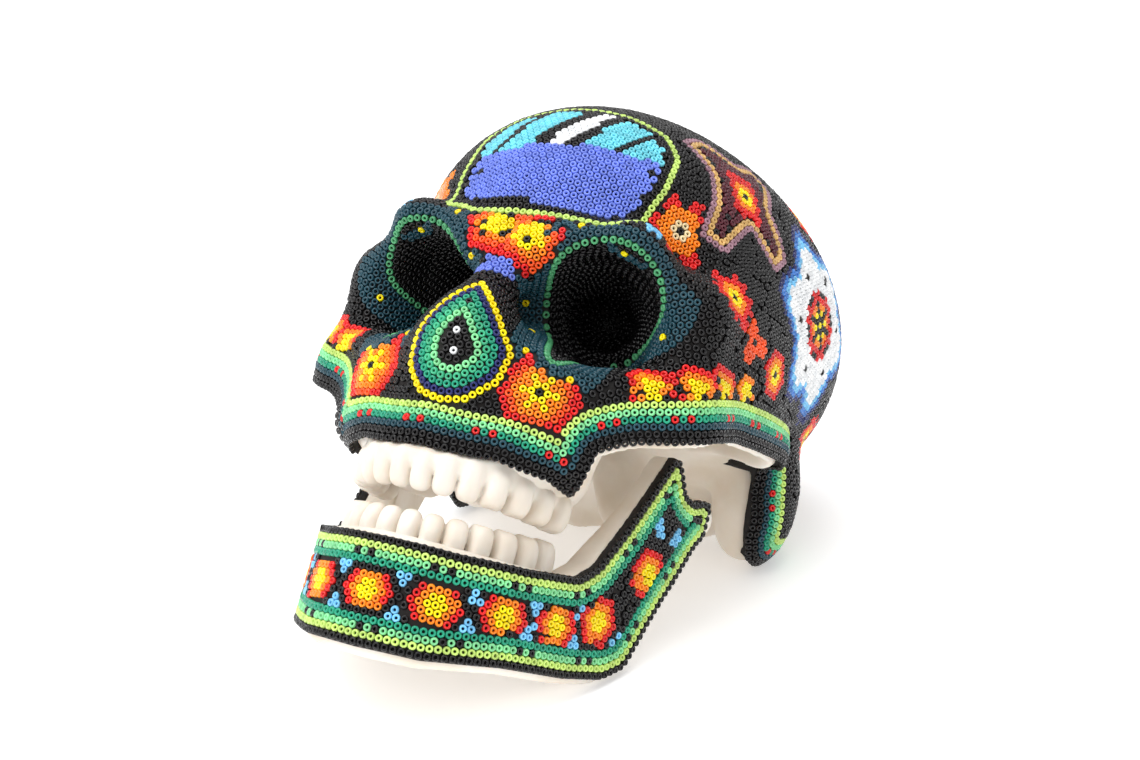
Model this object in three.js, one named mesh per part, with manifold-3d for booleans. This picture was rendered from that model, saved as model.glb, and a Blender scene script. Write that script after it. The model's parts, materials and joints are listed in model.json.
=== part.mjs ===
// A beaded skull in the Huichol manner: a resin skull casting and a separate jaw casting, each coated
// with a layer of wax in which panels of glass seed beads are bedded. The jaw turns on two steel pins.
//
// Everything is drawn in the skull's own frame: x to its left, y to its back, z up, origin between the
// ears. The whole head is then leaned back by SKULL_TILT, so that it rests on the back of its base
// and on the two corners of its jaw. All lengths are millimetres.
import * as THREE from "three";
import { mergeVertices } from "three/addons/utils/BufferGeometryUtils.js";
import Module from "manifold-3d";

const wasm = await Module();
wasm.setup();

// ---- Driving dimensions ----
const SKULL_TILT = THREE.MathUtils.degToRad(33.3);
const ORIGIN_HEIGHT = 39;           // skull origin above the surface that it rests on
const GAP = 0.3;                    // clearance between touching pieces
const BEAD_LAYER = 1.6;             // height of a seed bead
const WAX_LAYER = 0.8;
const WAX_TOP = BEAD_LAYER + GAP;   // depths below the finished beaded surface
const WAX_BOTTOM = WAX_TOP + WAX_LAYER;
const RESIN_TOP = WAX_BOTTOM + GAP;

const BALL_COLUMNS = 32;            // facets round the head
const BALL_ROWS = 19;               // facets from crown to base
const FRONT_CROWDING = 0.11;        // how much the columns crowd towards the face
const POLE_CROWDING = 0.06;         // how much the rows crowd towards the crown and the base
const CENTRE = new THREE.Vector3(0, 2, 36);   // every part of the outer form is seen from here
const FAR = 250;                    // beyond the head in every direction

const EDGE_BAND_WIDTH = 10.5;       // the bordered rim of the beadwork
const PIN_DIAMETER = 4;
const PIN_LENGTH = 24;
const HINGE = new THREE.Vector3(0, -14, -23); // the jaw's hinge line, through both condyles
const PIN_START = 20;               // the inner end of a pin, from the middle plane

const UPPER_TOOTH_TOP = -31;        // roots, biting edges
const UPPER_TOOTH_TIP = -42;
const LOWER_TOOTH_TIP = -47;
const MOLAR_RISE = 3.4;             // the lower row rises towards its back teeth
const LOWER_TOOTH_ROOT = -58;
const TEETH_PER_SIDE = 7;
const TOOTH_DEPTH = 8;
const TOOTH_HALF_SHARE = 0.07;      // half a tooth's width, as a share of the arch
const TOOTH_OVERLAP = 0.6;          // neighbouring teeth run into each other by this much
const TOOTH_TIP_WIDTH = 0.86;       // a tooth's size at its tip, as shares of its size at its root
const TOOTH_TIP_DEPTH = 0.7;
const TOOTH_BONE = 9;               // thickness of the bone that the teeth stand in
const FOSSA_RADIUS = 12.5;          // the hollows inside the cheek arches

// ---- Colours: resin, wax, steel and the bead panels ----
const finish = (color, roughness, metalness = 0) =>
  new THREE.MeshStandardMaterial({ color, roughness, metalness });
const resin = finish(0xece4d6, 0.55);
const wax = finish(0x2a1c10, 0.6);
const steel = finish(0xb9bcc0, 0.3, 1);
const beads = (color) => finish(color, 0.2);

// ---- The form of the head, as a distance field ----
function softMin(a, b, blend) {
  const near = Math.max(blend - Math.abs(a - b), 0);
  return Math.min(a, b) - (near * near) / (4 * blend);
}

function ellipsoid(p, [cx, cy, cz], [rx, ry, rz]) {
  const x = p.x - cx;
  const y = p.y - cy;
  const z = p.z - cz;
  const scaled = Math.hypot(x / rx, y / ry, z / rz);
  const slope = Math.hypot(x / rx ** 2, y / ry ** 2, z / rz ** 2);
  return (scaled * (scaled - 1)) / Math.max(slope, 1e-9);
}

// A round bar from one point to another, with a radius at each end.
function bar(p, from, to, radiusFrom, radiusTo) {
  const start = new THREE.Vector3(...from);
  const line = new THREE.Vector3(...to).sub(start);
  const offset = p.clone().sub(start);
  const along = THREE.MathUtils.clamp(offset.dot(line) / line.lengthSq(), 0, 1);
  const radius = radiusFrom + (radiusTo - radiusFrom) * along;
  return offset.addScaledVector(line, -along).length() - radius;
}

// The finished beaded surface: braincase, brow, cheekbones, nose, upper jaw and ear bones.
function headForm(point) {
  const p = new THREE.Vector3(Math.abs(point.x), point.y, point.z);
  let d = ellipsoid(p, [0, -18, 44], [55, 60, 48]);
  d = softMin(d, ellipsoid(p, [0, 22, 38], [62, 56, 54]), 26);
  d = softMin(d, bar(p, [6, -76, 29], [33, -72, 34], 8, 7), 10);     // brow
  d = softMin(d, bar(p, [33, -72, 34], [49, -60, 22], 7, 5), 6);     // outer brow
  d = softMin(d, bar(p, [49, -60, 22], [50, -59, -4], 5, 7), 6);     // side of the orbit
  d = softMin(d, bar(p, [50, -59, -4], [24, -80, -3], 8, 8), 8);     // below the orbit
  d = softMin(d, ellipsoid(p, [48, -55, -7], [12, 14, 10]), 8);      // cheekbone
  d = softMin(d, bar(p, [53, -52, -4], [56, -2, 2], 6, 6), 10);      // cheek arch
  d = softMin(d, ellipsoid(p, [46, -26, 18], [16, 38, 26]), 14);     // temple
  d = softMin(d, ellipsoid(p, [0, -64, -16], [35, 32, 28]), 10);     // upper jaw
  d = softMin(d, ellipsoid(p, [0, -66, -28], [33, 32.5, 16]), 6);    // above the teeth
  d = softMin(d, bar(p, [0, -78, 24], [0, -88, 0], 6, 9), 6);        // bridge of the nose
  d = softMin(d, ellipsoid(p, [0, -86, -6], [16, 13, 20]), 6);       // nose
  return softMin(d, ellipsoid(p, [46, 24, -6], [14, 16, 21]), 10);   // bone behind the ear
}

function outwardAt(p) {
  const step = 4;                   // wide enough to round off sharp creases
  const slope = (axis) => {
    const ahead = p.clone();
    const behind = p.clone();
    ahead[axis] += step;
    behind[axis] -= step;
    return headForm(ahead) - headForm(behind);
  };
  return new THREE.Vector3(slope("x"), slope("y"), slope("z")).normalize();
}

// Where a ray from the centre of the head leaves the form.
function surfaceAlong(direction) {
  let inside = 18;
  let outside = inside;
  const at = (distance) => CENTRE.clone().addScaledVector(direction, distance);
  while (headForm(at(outside)) < 0) {
    inside = outside;
    outside += 3;
  }
  for (let halving = 0; halving < 22; halving += 1) {
    const middle = (inside + outside) / 2;
    if (headForm(at(middle)) < 0) inside = middle;
    else outside = middle;
  }
  return at(outside);
}

// ---- Solids: joining and cutting ----
function solidOf(geometry) {
  const bare = geometry.clone();
  bare.deleteAttribute("normal");
  bare.deleteAttribute("uv");
  const merged = mergeVertices(bare, 1e-4);
  return new wasm.Manifold(new wasm.Mesh({
    numProp: 3,
    vertProperties: new Float32Array(merged.attributes.position.array),
    triVerts: new Uint32Array(merged.index.array),
  }));
}

function geometryOf(solid) {
  const mesh = solid.getMesh();
  const geometry = new THREE.BufferGeometry();
  geometry.setAttribute("position", new THREE.BufferAttribute(mesh.vertProperties.slice(), 3));
  geometry.setIndex(new THREE.BufferAttribute(mesh.triVerts.slice(), 1));
  return geometry;
}

function largestBody(solid) {
  const bodies = solid.decompose();
  return bodies.reduce((best, body) => (body.volume() > best.volume() ? body : best));
}

function joined(solids) {
  return solids.reduce((sum, solid) => sum.add(solid));
}

// A closed ball of facets around the head's centre, with a column of corners at each azimuth and each
// corner moved by place(azimuth, row). Azimuth is 0 at the face and grows to the skull's left. Facets
// are split the other way on the right, so that the two sides mirror.
function facetBall(azimuths, rows, place) {
  const columns = azimuths.length;
  const geometry = new THREE.SphereGeometry(1, columns, rows);
  const corners = geometry.attributes.position;
  const cornerAt = (row, column) => row * (columns + 1) + column;
  for (let row = 0; row <= rows; row += 1) {
    for (let column = 0; column <= columns; column += 1) {
      const p = place(azimuths[column % columns], row);
      corners.setXYZ(cornerAt(row, column), p.x, p.y, p.z);
    }
  }
  const triangles = [];
  for (let row = 0; row < rows; row += 1) {
    for (let column = 0; column < columns; column += 1) {
      const a = cornerAt(row, column + 1);
      const b = cornerAt(row, column);
      const c = cornerAt(row + 1, column);
      const d = cornerAt(row + 1, column + 1);
      if (row === 0) triangles.push(b, c, d);
      else if (row === rows - 1) triangles.push(a, b, d);
      else if (column * 2 < columns) triangles.push(a, b, c, a, c, d);
      else triangles.push(a, b, d, b, c, d);
    }
  }
  geometry.setIndex(triangles);
  return solidOf(geometry);
}

const headAzimuths = Array.from({ length: BALL_COLUMNS }, (_, column) => {
  const turn = column / BALL_COLUMNS - 0.5;
  return 2 * Math.PI * (turn - FRONT_CROWDING * Math.sin(2 * Math.PI * turn));
});

function directionOf(azimuth, polar) {
  const flat = Math.sin(polar);
  return new THREE.Vector3(flat * Math.sin(azimuth), -flat * Math.cos(azimuth), Math.cos(polar));
}

// The head's form, shrunk by a depth below the finished surface.
function headBall(depth) {
  return facetBall(headAzimuths, BALL_ROWS, (azimuth, row) => {
    const share = row / BALL_ROWS;
    const polar = Math.PI * (share + POLE_CROWDING * Math.sin(2 * Math.PI * share));
    const point = surfaceAlong(directionOf(share === 0 || share === 1 ? 0 : azimuth, polar));
    return point.addScaledVector(outwardAt(point), -depth);
  });
}

// ---- The lower edge of the beadwork ----
// Angle of the edge from the crown at each angle from the face: along the upper jaw, up behind its
// corner, along the cheek arch, down to the tip behind the ear, and round the back of the head.
const EDGE_LINE = [
  [0, 124], [12, 125], [20, 127.5], [24.5, 131.3], [26.5, 123], [33, 120.7], [41, 118.8], [47, 118],
  [60, 119.6], [72, 120.3], [86, 120.6], [93, 123.5], [97.5, 131.5], [102, 138], [108, 140], [113, 139],
  [120, 136], [131, 131], [150, 127], [180, 116.5],
];
const edgeAzimuths = [
  ...EDGE_LINE.slice(1).reverse().map(([angle]) => -THREE.MathUtils.degToRad(angle)),
  ...EDGE_LINE.slice(0, -1).map(([angle]) => THREE.MathUtils.degToRad(angle)),
];

function edgePolar(azimuth) {
  const degrees = THREE.MathUtils.radToDeg(Math.abs(azimuth));
  const next = Math.max(EDGE_LINE.findIndex(([angle]) => angle >= degrees - 1e-6), 1);
  const [angleA, polarA] = EDGE_LINE[next - 1];
  const [angleB, polarB] = EDGE_LINE[next];
  return THREE.MathUtils.degToRad(THREE.MathUtils.mapLinear(degrees, angleA, angleB, polarA, polarB));
}

// Everything below the edge line, or below a line that lies a width above it.
function belowEdge(width) {
  return facetBall(edgeAzimuths, 4, (azimuth, row) => {
    if (row === 0 || row === 4) {
      return CENTRE.clone().addScaledVector(directionOf(0, row === 0 ? 0 : Math.PI), row === 0 ? 1 : FAR);
    }
    const edge = edgePolar(azimuth);
    const reach = surfaceAlong(directionOf(azimuth, edge)).distanceTo(CENTRE);
    const polar = edge - width / reach;
    const outer = row === 3 ? (polar + Math.PI) / 2 : polar;
    return CENTRE.clone().addScaledVector(directionOf(azimuth, outer), row === 1 ? 1 : FAR);
  });
}

// ---- Cutters for the bead panels ----
// A prism with its axis along a direction, from a depth inside a surface point to beyond the surface.
function prismAt(outline, centre, axis, depth, height, up = new THREE.Vector3(0, 0, 1)) {
  const shape = new THREE.Shape(outline.map(([u, v]) => new THREE.Vector2(u, v)));
  const geometry = new THREE.ExtrudeGeometry(shape, { depth: height, bevelEnabled: false });
  geometry.translate(0, 0, -depth);
  const z = axis.clone().normalize();
  const x = new THREE.Vector3().crossVectors(up, z).normalize();
  const y = new THREE.Vector3().crossVectors(z, x);
  geometry.applyMatrix4(new THREE.Matrix4().makeBasis(x, y, z).setPosition(centre));
  return solidOf(geometry);
}

function roundOutline(radiusU, radiusV, sides) {
  return Array.from({ length: sides }, (_, side) => {
    const angle = (2 * Math.PI * (side + 0.5)) / sides;
    return [radiusU * Math.cos(angle), radiusV * Math.sin(angle)];
  });
}

function grown(outline, margin) {
  return outline.map(([u, v]) => {
    const scale = 1 + margin / Math.hypot(u, v);
    return [u * scale, v * scale];
  });
}

// A motif's place: the surface point seen from the centre of the head along (azimuth, polar) degrees.
function placeOn(azimuthDegrees, polarDegrees) {
  const direction = directionOf(
    THREE.MathUtils.degToRad(azimuthDegrees),
    THREE.MathUtils.degToRad(polarDegrees),
  );
  const centre = surfaceAlong(direction);
  return { centre, axis: outwardAt(centre) };
}

const handOutline = [
  [-20, -19], [20, -19], [31, -13], [37, 0], [37, 17], [29, 29], [11, 34],
  [-11, 34], [-29, 29], [-37, 17], [-37, 0], [-31, -13],
];
const leafOutline = [
  [0, 22], [-6, 17], [-12, 9.5], [-17, 0], [-15.5, -11], [-8, -18], [8, -18], [15.5, -11], [17, 0],
  [12, 9.5], [6, 17],
];
// The left deer; the right one is its mirror image.
const deerOutline = [
  [-20, -20], [-10, -23], [1, -11], [13, -20], [20, -13], [13, 1], [19, 14], [13, 23], [2, 16], [-10, 23],
  [-20, 16], [-14, 3], [-15, -8],
];
const mirrored = (outline) => outline.map(([u, v]) => [-u, v]).reverse();

const motifs = [
  { name: "nose_leaf_beads", at: placeOn(0, 109.8), outline: leafOutline, color: 0x3fae82 },
  { name: "forehead_hand_beads", at: placeOn(0, 74), outline: handOutline, color: 0x6f80d8 },
  { name: "brow_flower_beads", at: placeOn(0, 92), outline: roundOutline(14, 9, 10), color: 0xe8481f },
  { name: "crown_star_beads", at: placeOn(180, 12), outline: roundOutline(20, 20, 12), color: 0x2c9a78 },
  { name: "nape_sun_beads", at: placeOn(180, 82), outline: roundOutline(24, 24, 12), color: 0xf08a1d },
];
for (const [side, sign] of [["left", 1], ["right", -1]]) {
  const deer = sign > 0 ? deerOutline : mirrored(deerOutline);
  const cheek = roundOutline(12, 12, 12);
  const flower = roundOutline(25, 25, 14);
  motifs.push(
    { name: `${side}_cheek_flower_beads`, at: placeOn(15.5 * sign, 116.3), outline: cheek, color: 0xe32a22 },
    { name: `${side}_temple_deer_beads`, at: placeOn(49 * sign, 63.5), outline: deer, color: 0x6b2331 },
    { name: `${side}_side_flower_beads`, at: placeOn(91 * sign, 83), outline: flower, color: 0xf3f6fa },
  );
}
const MOTIF_DEPTH = 22;             // motif cutters reach this far inside the head, and as far outside it

// ---- Orbits ----
const ORBIT_MOUTH = [36, -96, 14];  // axis of the left orbit, from in front of the face to its depth
const ORBIT_DEPTH = [14, -38, 23];
const ORBIT_MOUTH_RADIUS = 20;
const ORBIT_DEPTH_RADIUS = 7;
const ORBIT_RIM_RADIUS = 22.5;

// A cone on the axis of an orbit, with its sides and its deepest face moved outwards by a margin.
function orbitCone(sign, margin, mouthRadius, depthRadius) {
  const mouth = new THREE.Vector3(ORBIT_MOUTH[0] * sign, ORBIT_MOUTH[1], ORBIT_MOUTH[2]);
  const depth = new THREE.Vector3(ORBIT_DEPTH[0] * sign, ORBIT_DEPTH[1], ORBIT_DEPTH[2]);
  const axis = mouth.clone().sub(depth);
  const length = axis.length() + margin;
  const geometry = new THREE.CylinderGeometry(mouthRadius + margin, depthRadius + margin, length, 18);
  geometry.translate(0, length / 2 - margin, 0);
  geometry.applyQuaternion(
    new THREE.Quaternion().setFromUnitVectors(new THREE.Vector3(0, 1, 0), axis.normalize()),
  );
  geometry.translate(depth.x, depth.y, depth.z);
  return solidOf(geometry);
}

const orbitHollow = (sign, margin) => orbitCone(sign, margin, ORBIT_MOUTH_RADIUS, ORBIT_DEPTH_RADIUS);

// The ring around an orbit's mouth, which starts well outside its depth.
function rimCutter(sign, margin) {
  const ring = orbitCone(sign, margin, ORBIT_RIM_RADIUS, ORBIT_RIM_RADIUS);
  return ring.subtract(lump([0, -10, 20], [52 - margin, 56 - margin, 52], 24, 16));
}

// The head's form below a depth, with its orbits hollowed out.
function hollowedHead(depth) {
  return headBall(depth).subtract(orbitHollow(1, depth)).subtract(orbitHollow(-1, depth));
}

// ---- Teeth ----
// Both rows stand on an arch: half an ellipse that runs back into two straight sides.
function archPoint(share, halfWidth, reach, back) {
  const angle = share * Math.PI * 0.5;
  return new THREE.Vector2(halfWidth * Math.sin(angle), back - reach * Math.cos(angle));
}

function toothRow(halfWidth, reach, back, frontTip, root, depth, rise) {
  const teeth = [];
  for (let place = 0; place < TEETH_PER_SIDE * 2; place += 1) {
    const share = (place + 0.5) / TEETH_PER_SIDE - 1;
    const tip = frontTip + rise * share ** 2;
    const here = archPoint(share, halfWidth, reach, back);
    const ahead = archPoint(share + 0.01, halfWidth, reach, back);
    const heading = Math.atan2(ahead.y - here.y, ahead.x - here.x);
    const oneSide = archPoint(share - TOOTH_HALF_SHARE, halfWidth, reach, back);
    const otherSide = archPoint(share + TOOTH_HALF_SHARE, halfWidth, reach, back);
    const width = otherSide.distanceTo(oneSide) + TOOTH_OVERLAP;
    const geometry = new THREE.BoxGeometry(width, depth, Math.abs(tip - root));
    const corners = geometry.attributes.position;
    for (let corner = 0; corner < corners.count; corner += 1) {
      const atTip = Math.sign(corners.getZ(corner)) === Math.sign(tip - root);
      if (!atTip) continue;
      corners.setX(corner, corners.getX(corner) * TOOTH_TIP_WIDTH);
      corners.setY(corner, corners.getY(corner) * TOOTH_TIP_DEPTH);
    }
    geometry.rotateZ(heading);
    geometry.translate(here.x, here.y, (tip + root) / 2);
    teeth.push(solidOf(geometry));
  }
  return joined(teeth);
}

// The bone that a row of teeth stands in.
function toothBone(halfWidth, reach, back, thickness, bottom, top) {
  const outline = [];
  const steps = 10;
  for (let step = -steps; step <= steps; step += 1) {
    outline.push(archPoint(step / steps, halfWidth + thickness / 2, reach + thickness / 2, back));
  }
  for (let step = steps; step >= -steps; step -= 1) {
    outline.push(archPoint(step / steps, halfWidth - thickness / 2, reach - thickness / 2, back));
  }
  const shape = new THREE.Shape(outline);
  const geometry = new THREE.ExtrudeGeometry(shape, { depth: top - bottom, bevelEnabled: false });
  geometry.translate(0, 0, bottom);
  return solidOf(geometry);
}

// ---- Rounded lumps and hollows ----
function lump([x, y, z], [rx, ry, rz], columns = 14, rows = 9) {
  const geometry = new THREE.SphereGeometry(1, columns, rows);
  geometry.scale(rx, ry, rz);
  geometry.translate(x, y, z);
  return solidOf(geometry);
}

function roundBar(from, to, radius, sides = 12) {
  const start = new THREE.Vector3(...from);
  const line = new THREE.Vector3(...to).sub(start);
  const geometry = new THREE.CapsuleGeometry(radius, line.length(), 3, sides);
  geometry.translate(0, line.length() / 2, 0);
  const heading = line.clone().normalize();
  const turn = new THREE.Quaternion().setFromUnitVectors(new THREE.Vector3(0, 1, 0), heading);
  geometry.applyQuaternion(turn);
  geometry.translate(start.x, start.y, start.z);
  return solidOf(geometry);
}

function alongX(fromX, toX, radius, sides) {
  const geometry = new THREE.CylinderGeometry(radius, radius, Math.abs(toX - fromX), sides);
  geometry.rotateZ(Math.PI / 2);
  geometry.translate((fromX + toX) / 2, HINGE.y, HINGE.z);
  return geometry;
}

// From the skull's frame to the rest pose, leaning back on the floor.
const leaning = new THREE.Matrix4().makeRotationX(-SKULL_TILT).setPosition(0, 0, ORIGIN_HEIGHT);

// Everything under the floor, in the skull's frame, to cut the flats that the head rests on.
function underFloor() {
  const geometry = new THREE.BoxGeometry(2 * FAR, 2 * FAR, FAR);
  geometry.translate(0, 0, -FAR / 2);
  geometry.applyMatrix4(leaning.clone().invert());
  return solidOf(geometry);
}

// ---- Skull casting ----
const UPPER_ARCH = [26, 34, -62];   // half width, reach forwards, and where the arch ends
const LOWER_ARCH = [25, 33, -62];

function skullCasting() {
  const parts = [];
  parts.push(toothBone(...UPPER_ARCH, TOOTH_BONE, -37, -22));
  parts.push(toothRow(...UPPER_ARCH, UPPER_TOOTH_TIP, UPPER_TOOTH_TOP, TOOTH_DEPTH, 0));
  parts.push(lump([0, 46, -2], [36, 30, 30]));                        // base of the back of the head
  for (const sign of [1, -1]) {
    parts.push(roundBar([14 * sign, -10, -6], [23 * sign, -13, -22], 9));   // holds the jaw pin
  }
  const core = hollowedHead(RESIN_TOP).intersect(headBall(WAX_BOTTOM)).intersect(headBall(BEAD_LAYER));
  let solid = joined(parts).intersect(belowEdge(-GAP)).add(core);
  for (const sign of [1, -1]) {
    solid = solid.subtract(roundBar([43 * sign, -47, -19], [45 * sign, -2, -18], FOSSA_RADIUS, 16));
    solid = solid.subtract(roundBar([45 * sign, -2, -18], [40 * sign, 6, -40], FOSSA_RADIUS, 16));
    const bore = alongX((PIN_START - GAP) * sign, 60 * sign, PIN_DIAMETER / 2 + GAP, 16);
    solid = solid.subtract(solidOf(bore));
  }
  solid = solid.subtract(lump([0, -66, -46], [20, 26, 15]));            // roof of the mouth
  const throat = new THREE.BoxGeometry(70, 34, 60).translate(0, -37, -44);
  solid = solid.subtract(solidOf(throat));
  solid = solid.subtract(lump([0, 20, -30], [15, 17, 16]));             // hollow at the spine's opening
  return largestBody(solid.subtract(underFloor()));
}

// ---- Jaw ----
// Seen from above, the outer face of the jaw follows this line from the chin to the hinge.
const jawHalf = [[0, -102], [15, -98.5], [29, -85], [37, -66], [42, -50], [46, -36], [49, -20], [50, -9]];
const jawLine = new THREE.CatmullRomCurve3([
  ...jawHalf.slice(1).reverse().map(([x, y]) => new THREE.Vector3(-x, y, 0)),
  ...jawHalf.map(([x, y]) => new THREE.Vector3(x, y, 0)),
]);
const JAW_HALF_LENGTH = jawLine.getLength() / 2;

// Heights of the jaw's upper and lower edges, by distance from the chin along its outer face.
const JAW_TOP = [
  [0, -55.5], [20, -55.5], [40, -54], [58, -51.5], [64, -47], [72, -34], [84, -11.5],
  [87, -11.5], [93, -19.5], [98, -20.5], [103, -18.5], [109, -18.5], [114, -23],
];
const JAW_BOTTOM = [
  [0, -85], [18, -84.5], [40, -81], [62, -79], [76, -76.5], [84, -72], [92, -55], [104, -34], [114, -24],
];

function heightFrom(line, distance) {
  const reach = Math.min(Math.abs(distance), line[line.length - 1][0]);
  const next = Math.max(line.findIndex(([place]) => place >= reach), 1);
  const [placeA, heightA] = line[next - 1];
  const [placeB, heightB] = line[next];
  return THREE.MathUtils.mapLinear(reach, placeA, placeB, heightA, heightB);
}

const JAW_REACH = 112.5;            // from the chin to the back of the condyle, along the outer face
const JAW_STATIONS = [0, 8, 16, 24, 32, 40, 48, 55, 61, 66, 72, 78, 84, 88, 93, 98, 103, 108, JAW_REACH];

function jawThickness(distance, share) {
  const ramus = THREE.MathUtils.smoothstep(Math.abs(distance), 58, 80);
  const body = THREE.MathUtils.lerp(12.5, 9.5, share);
  return THREE.MathUtils.lerp(body, 7, ramus);
}

// A point of the jaw: distance along its face, height, and depth below the finished surface.
function jawPoint(distance, height, depth) {
  const share = THREE.MathUtils.clamp(0.5 + distance / (2 * JAW_HALF_LENGTH), 0, 1);
  const point = jawLine.getPointAt(share);
  const tangent = jawLine.getTangentAt(share);
  return new THREE.Vector3(point.x - tangent.y * depth, point.y + tangent.x * depth, height);
}

// A slab of the jaw between two depths, with its lower and upper edges given by distance.
function jawSlab(reach, rows, edges, depths) {
  const stations = JAW_STATIONS.filter((station) => station <= reach);
  const columns = stations.length * 2 - 2;
  const geometry = new THREE.BoxGeometry(1, 1, 1, columns, 1, rows);
  const corners = geometry.attributes.position;
  for (let corner = 0; corner < corners.count; corner += 1) {
    const column = Math.round((corners.getX(corner) + 0.5) * columns) - columns / 2;
    const distance = Math.sign(column) * stations[Math.abs(column)];
    const share = corners.getZ(corner) + 0.5;
    const [low, high] = edges(distance);
    const depth = depths(distance, share)[corners.getY(corner) < 0 ? 0 : 1];
    const p = jawPoint(distance, THREE.MathUtils.lerp(low, high, share), depth);
    corners.setXYZ(corner, p.x, p.y, p.z);
  }
  return solidOf(geometry);
}

const jawEdges = (distance) => [heightFrom(JAW_BOTTOM, distance), heightFrom(JAW_TOP, distance)];

function jawCasting() {
  const depths = (distance, share) => [RESIN_TOP, RESIN_TOP + jawThickness(distance, share)];
  const slab = jawSlab(JAW_REACH, 3, jawEdges, depths);
  const outside = jawSlab(JAW_REACH, 1, jawEdges, () => [-20, RESIN_TOP]);
  const parts = [];
  parts.push(toothBone(...LOWER_ARCH, TOOTH_BONE, -66, -53));
  parts.push(toothRow(...LOWER_ARCH, LOWER_TOOTH_TIP, LOWER_TOOTH_ROOT, TOOTH_DEPTH, MOLAR_RISE));
  for (const sign of [1, -1]) parts.push(lump([42.5 * sign, HINGE.y, HINGE.z], [6.5, 6, 5.5], 12, 8));
  let solid = joined(parts).subtract(outside).add(slab);
  for (const sign of [1, -1]) {
    const bore = alongX(30 * sign, (PIN_START + PIN_LENGTH + GAP) * sign, PIN_DIAMETER / 2 + GAP, 16);
    solid = solid.subtract(solidOf(bore));
  }
  return largestBody(solid.subtract(underFloor()));
}

const JAW_BEAD_MARGIN = 2;          // bare resin below the beads
const JAW_BORDER = 8;               // width of the bordered rims of the jaw's beadwork
const JAW_FIELD_REACH = 98;         // how far the flower band runs towards the hinge

function jawBeadEdges(distance) {
  const [low, high] = jawEdges(distance);
  const margin = Math.min(JAW_BEAD_MARGIN, (high - low) * 0.3);
  return [low + margin, Math.max(high, low + margin + 0.4)];
}

function jawBorder(distance) {
  const [low, high] = jawBeadEdges(distance);
  return Math.min(JAW_BORDER, (high - low) / 2 - GAP);
}

const beadDepths = () => [0, BEAD_LAYER];
const waxDepths = () => [WAX_TOP, WAX_BOTTOM];
const JAW_BEAD_REACH = 108;         // beads stop just short of the hinge

function jawLowerEdge(distance) {
  const [low] = jawBeadEdges(distance);
  return [low, low + jawBorder(distance)];
}

function jawUpperEdge(distance) {
  const [, high] = jawBeadEdges(distance);
  return [high - jawBorder(distance), high];
}

function jawField(distance) {
  const [, lower] = jawLowerEdge(distance);
  const [upper] = jawUpperEdge(distance);
  return [lower + GAP, upper - GAP];
}

// ---- Assembly ----
const head = new THREE.Group();
head.applyMatrix4(leaning);

function addPiece(name, solid, material) {
  const mesh = new THREE.Mesh(geometryOf(solid), material);
  mesh.name = name;
  head.add(mesh);
}

addPiece("skull_casting", skullCasting(), resin);

const edge = belowEdge(0);
const aboveBand = belowEdge(EDGE_BAND_WIDTH);
const belowBand = belowEdge(EDGE_BAND_WIDTH - GAP);
const waxForm = hollowedHead(WAX_TOP).intersect(headBall(BEAD_LAYER));
addPiece("skull_wax_layer", largestBody(waxForm.subtract(hollowedHead(WAX_BOTTOM)).subtract(edge)), wax);

const beadSkin = hollowedHead(0).subtract(hollowedHead(BEAD_LAYER)).subtract(edge);
addPiece("skull_edge_beads", largestBody(beadSkin.intersect(belowBand)), beads(0x2f9f7a));

let field = beadSkin.subtract(aboveBand);
for (const [side, sign] of [["left", 1], ["right", -1]]) {
  const lining = field.intersect(orbitHollow(sign, BEAD_LAYER));
  addPiece(`${side}_orbit_lining_beads`, largestBody(lining), beads(0x17151a));
  field = field.subtract(orbitHollow(sign, BEAD_LAYER + GAP));
  addPiece(`${side}_orbit_rim_beads`, largestBody(field.intersect(rimCutter(sign, 0))), beads(0x22505a));
  field = field.subtract(rimCutter(sign, GAP));
}
for (const { name, at, outline, color } of motifs) {
  const panel = field.intersect(prismAt(outline, at.centre, at.axis, MOTIF_DEPTH, 2 * MOTIF_DEPTH));
  addPiece(name, largestBody(panel), beads(color));
  const around = prismAt(grown(outline, GAP), at.centre, at.axis, MOTIF_DEPTH + 1, 2 * MOTIF_DEPTH + 2);
  field = field.subtract(around);
}
addPiece("skull_ground_beads", largestBody(field), beads(0x1b1719));

for (const [side, sign] of [["left", 1], ["right", -1]]) {
  const pin = alongX(PIN_START * sign, (PIN_START + PIN_LENGTH) * sign, PIN_DIAMETER / 2, 16);
  addPiece(`${side}_jaw_pin`, solidOf(pin), steel);
}

addPiece("jaw_casting", jawCasting(), resin);
addPiece("jaw_wax_layer", jawSlab(JAW_BEAD_REACH, 2, jawBeadEdges, waxDepths), wax);
addPiece("jaw_lower_edge_beads", jawSlab(JAW_BEAD_REACH, 1, jawLowerEdge, beadDepths), beads(0x8fdc7c));
addPiece("jaw_upper_edge_beads", jawSlab(JAW_BEAD_REACH, 1, jawUpperEdge, beadDepths), beads(0x8fdc7c));
addPiece("jaw_flower_beads", jawSlab(JAW_FIELD_REACH, 1, jawField, beadDepths), beads(0xf07a1d));

const group = new THREE.Group();
group.add(head);

// The model's origin is under the middle of its outline.
head.updateMatrixWorld(true);
const outline = new THREE.Box3().setFromObject(head, true);
head.position.y -= (outline.min.y + outline.max.y) / 2;

export default group;
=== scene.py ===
import json
import math

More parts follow.
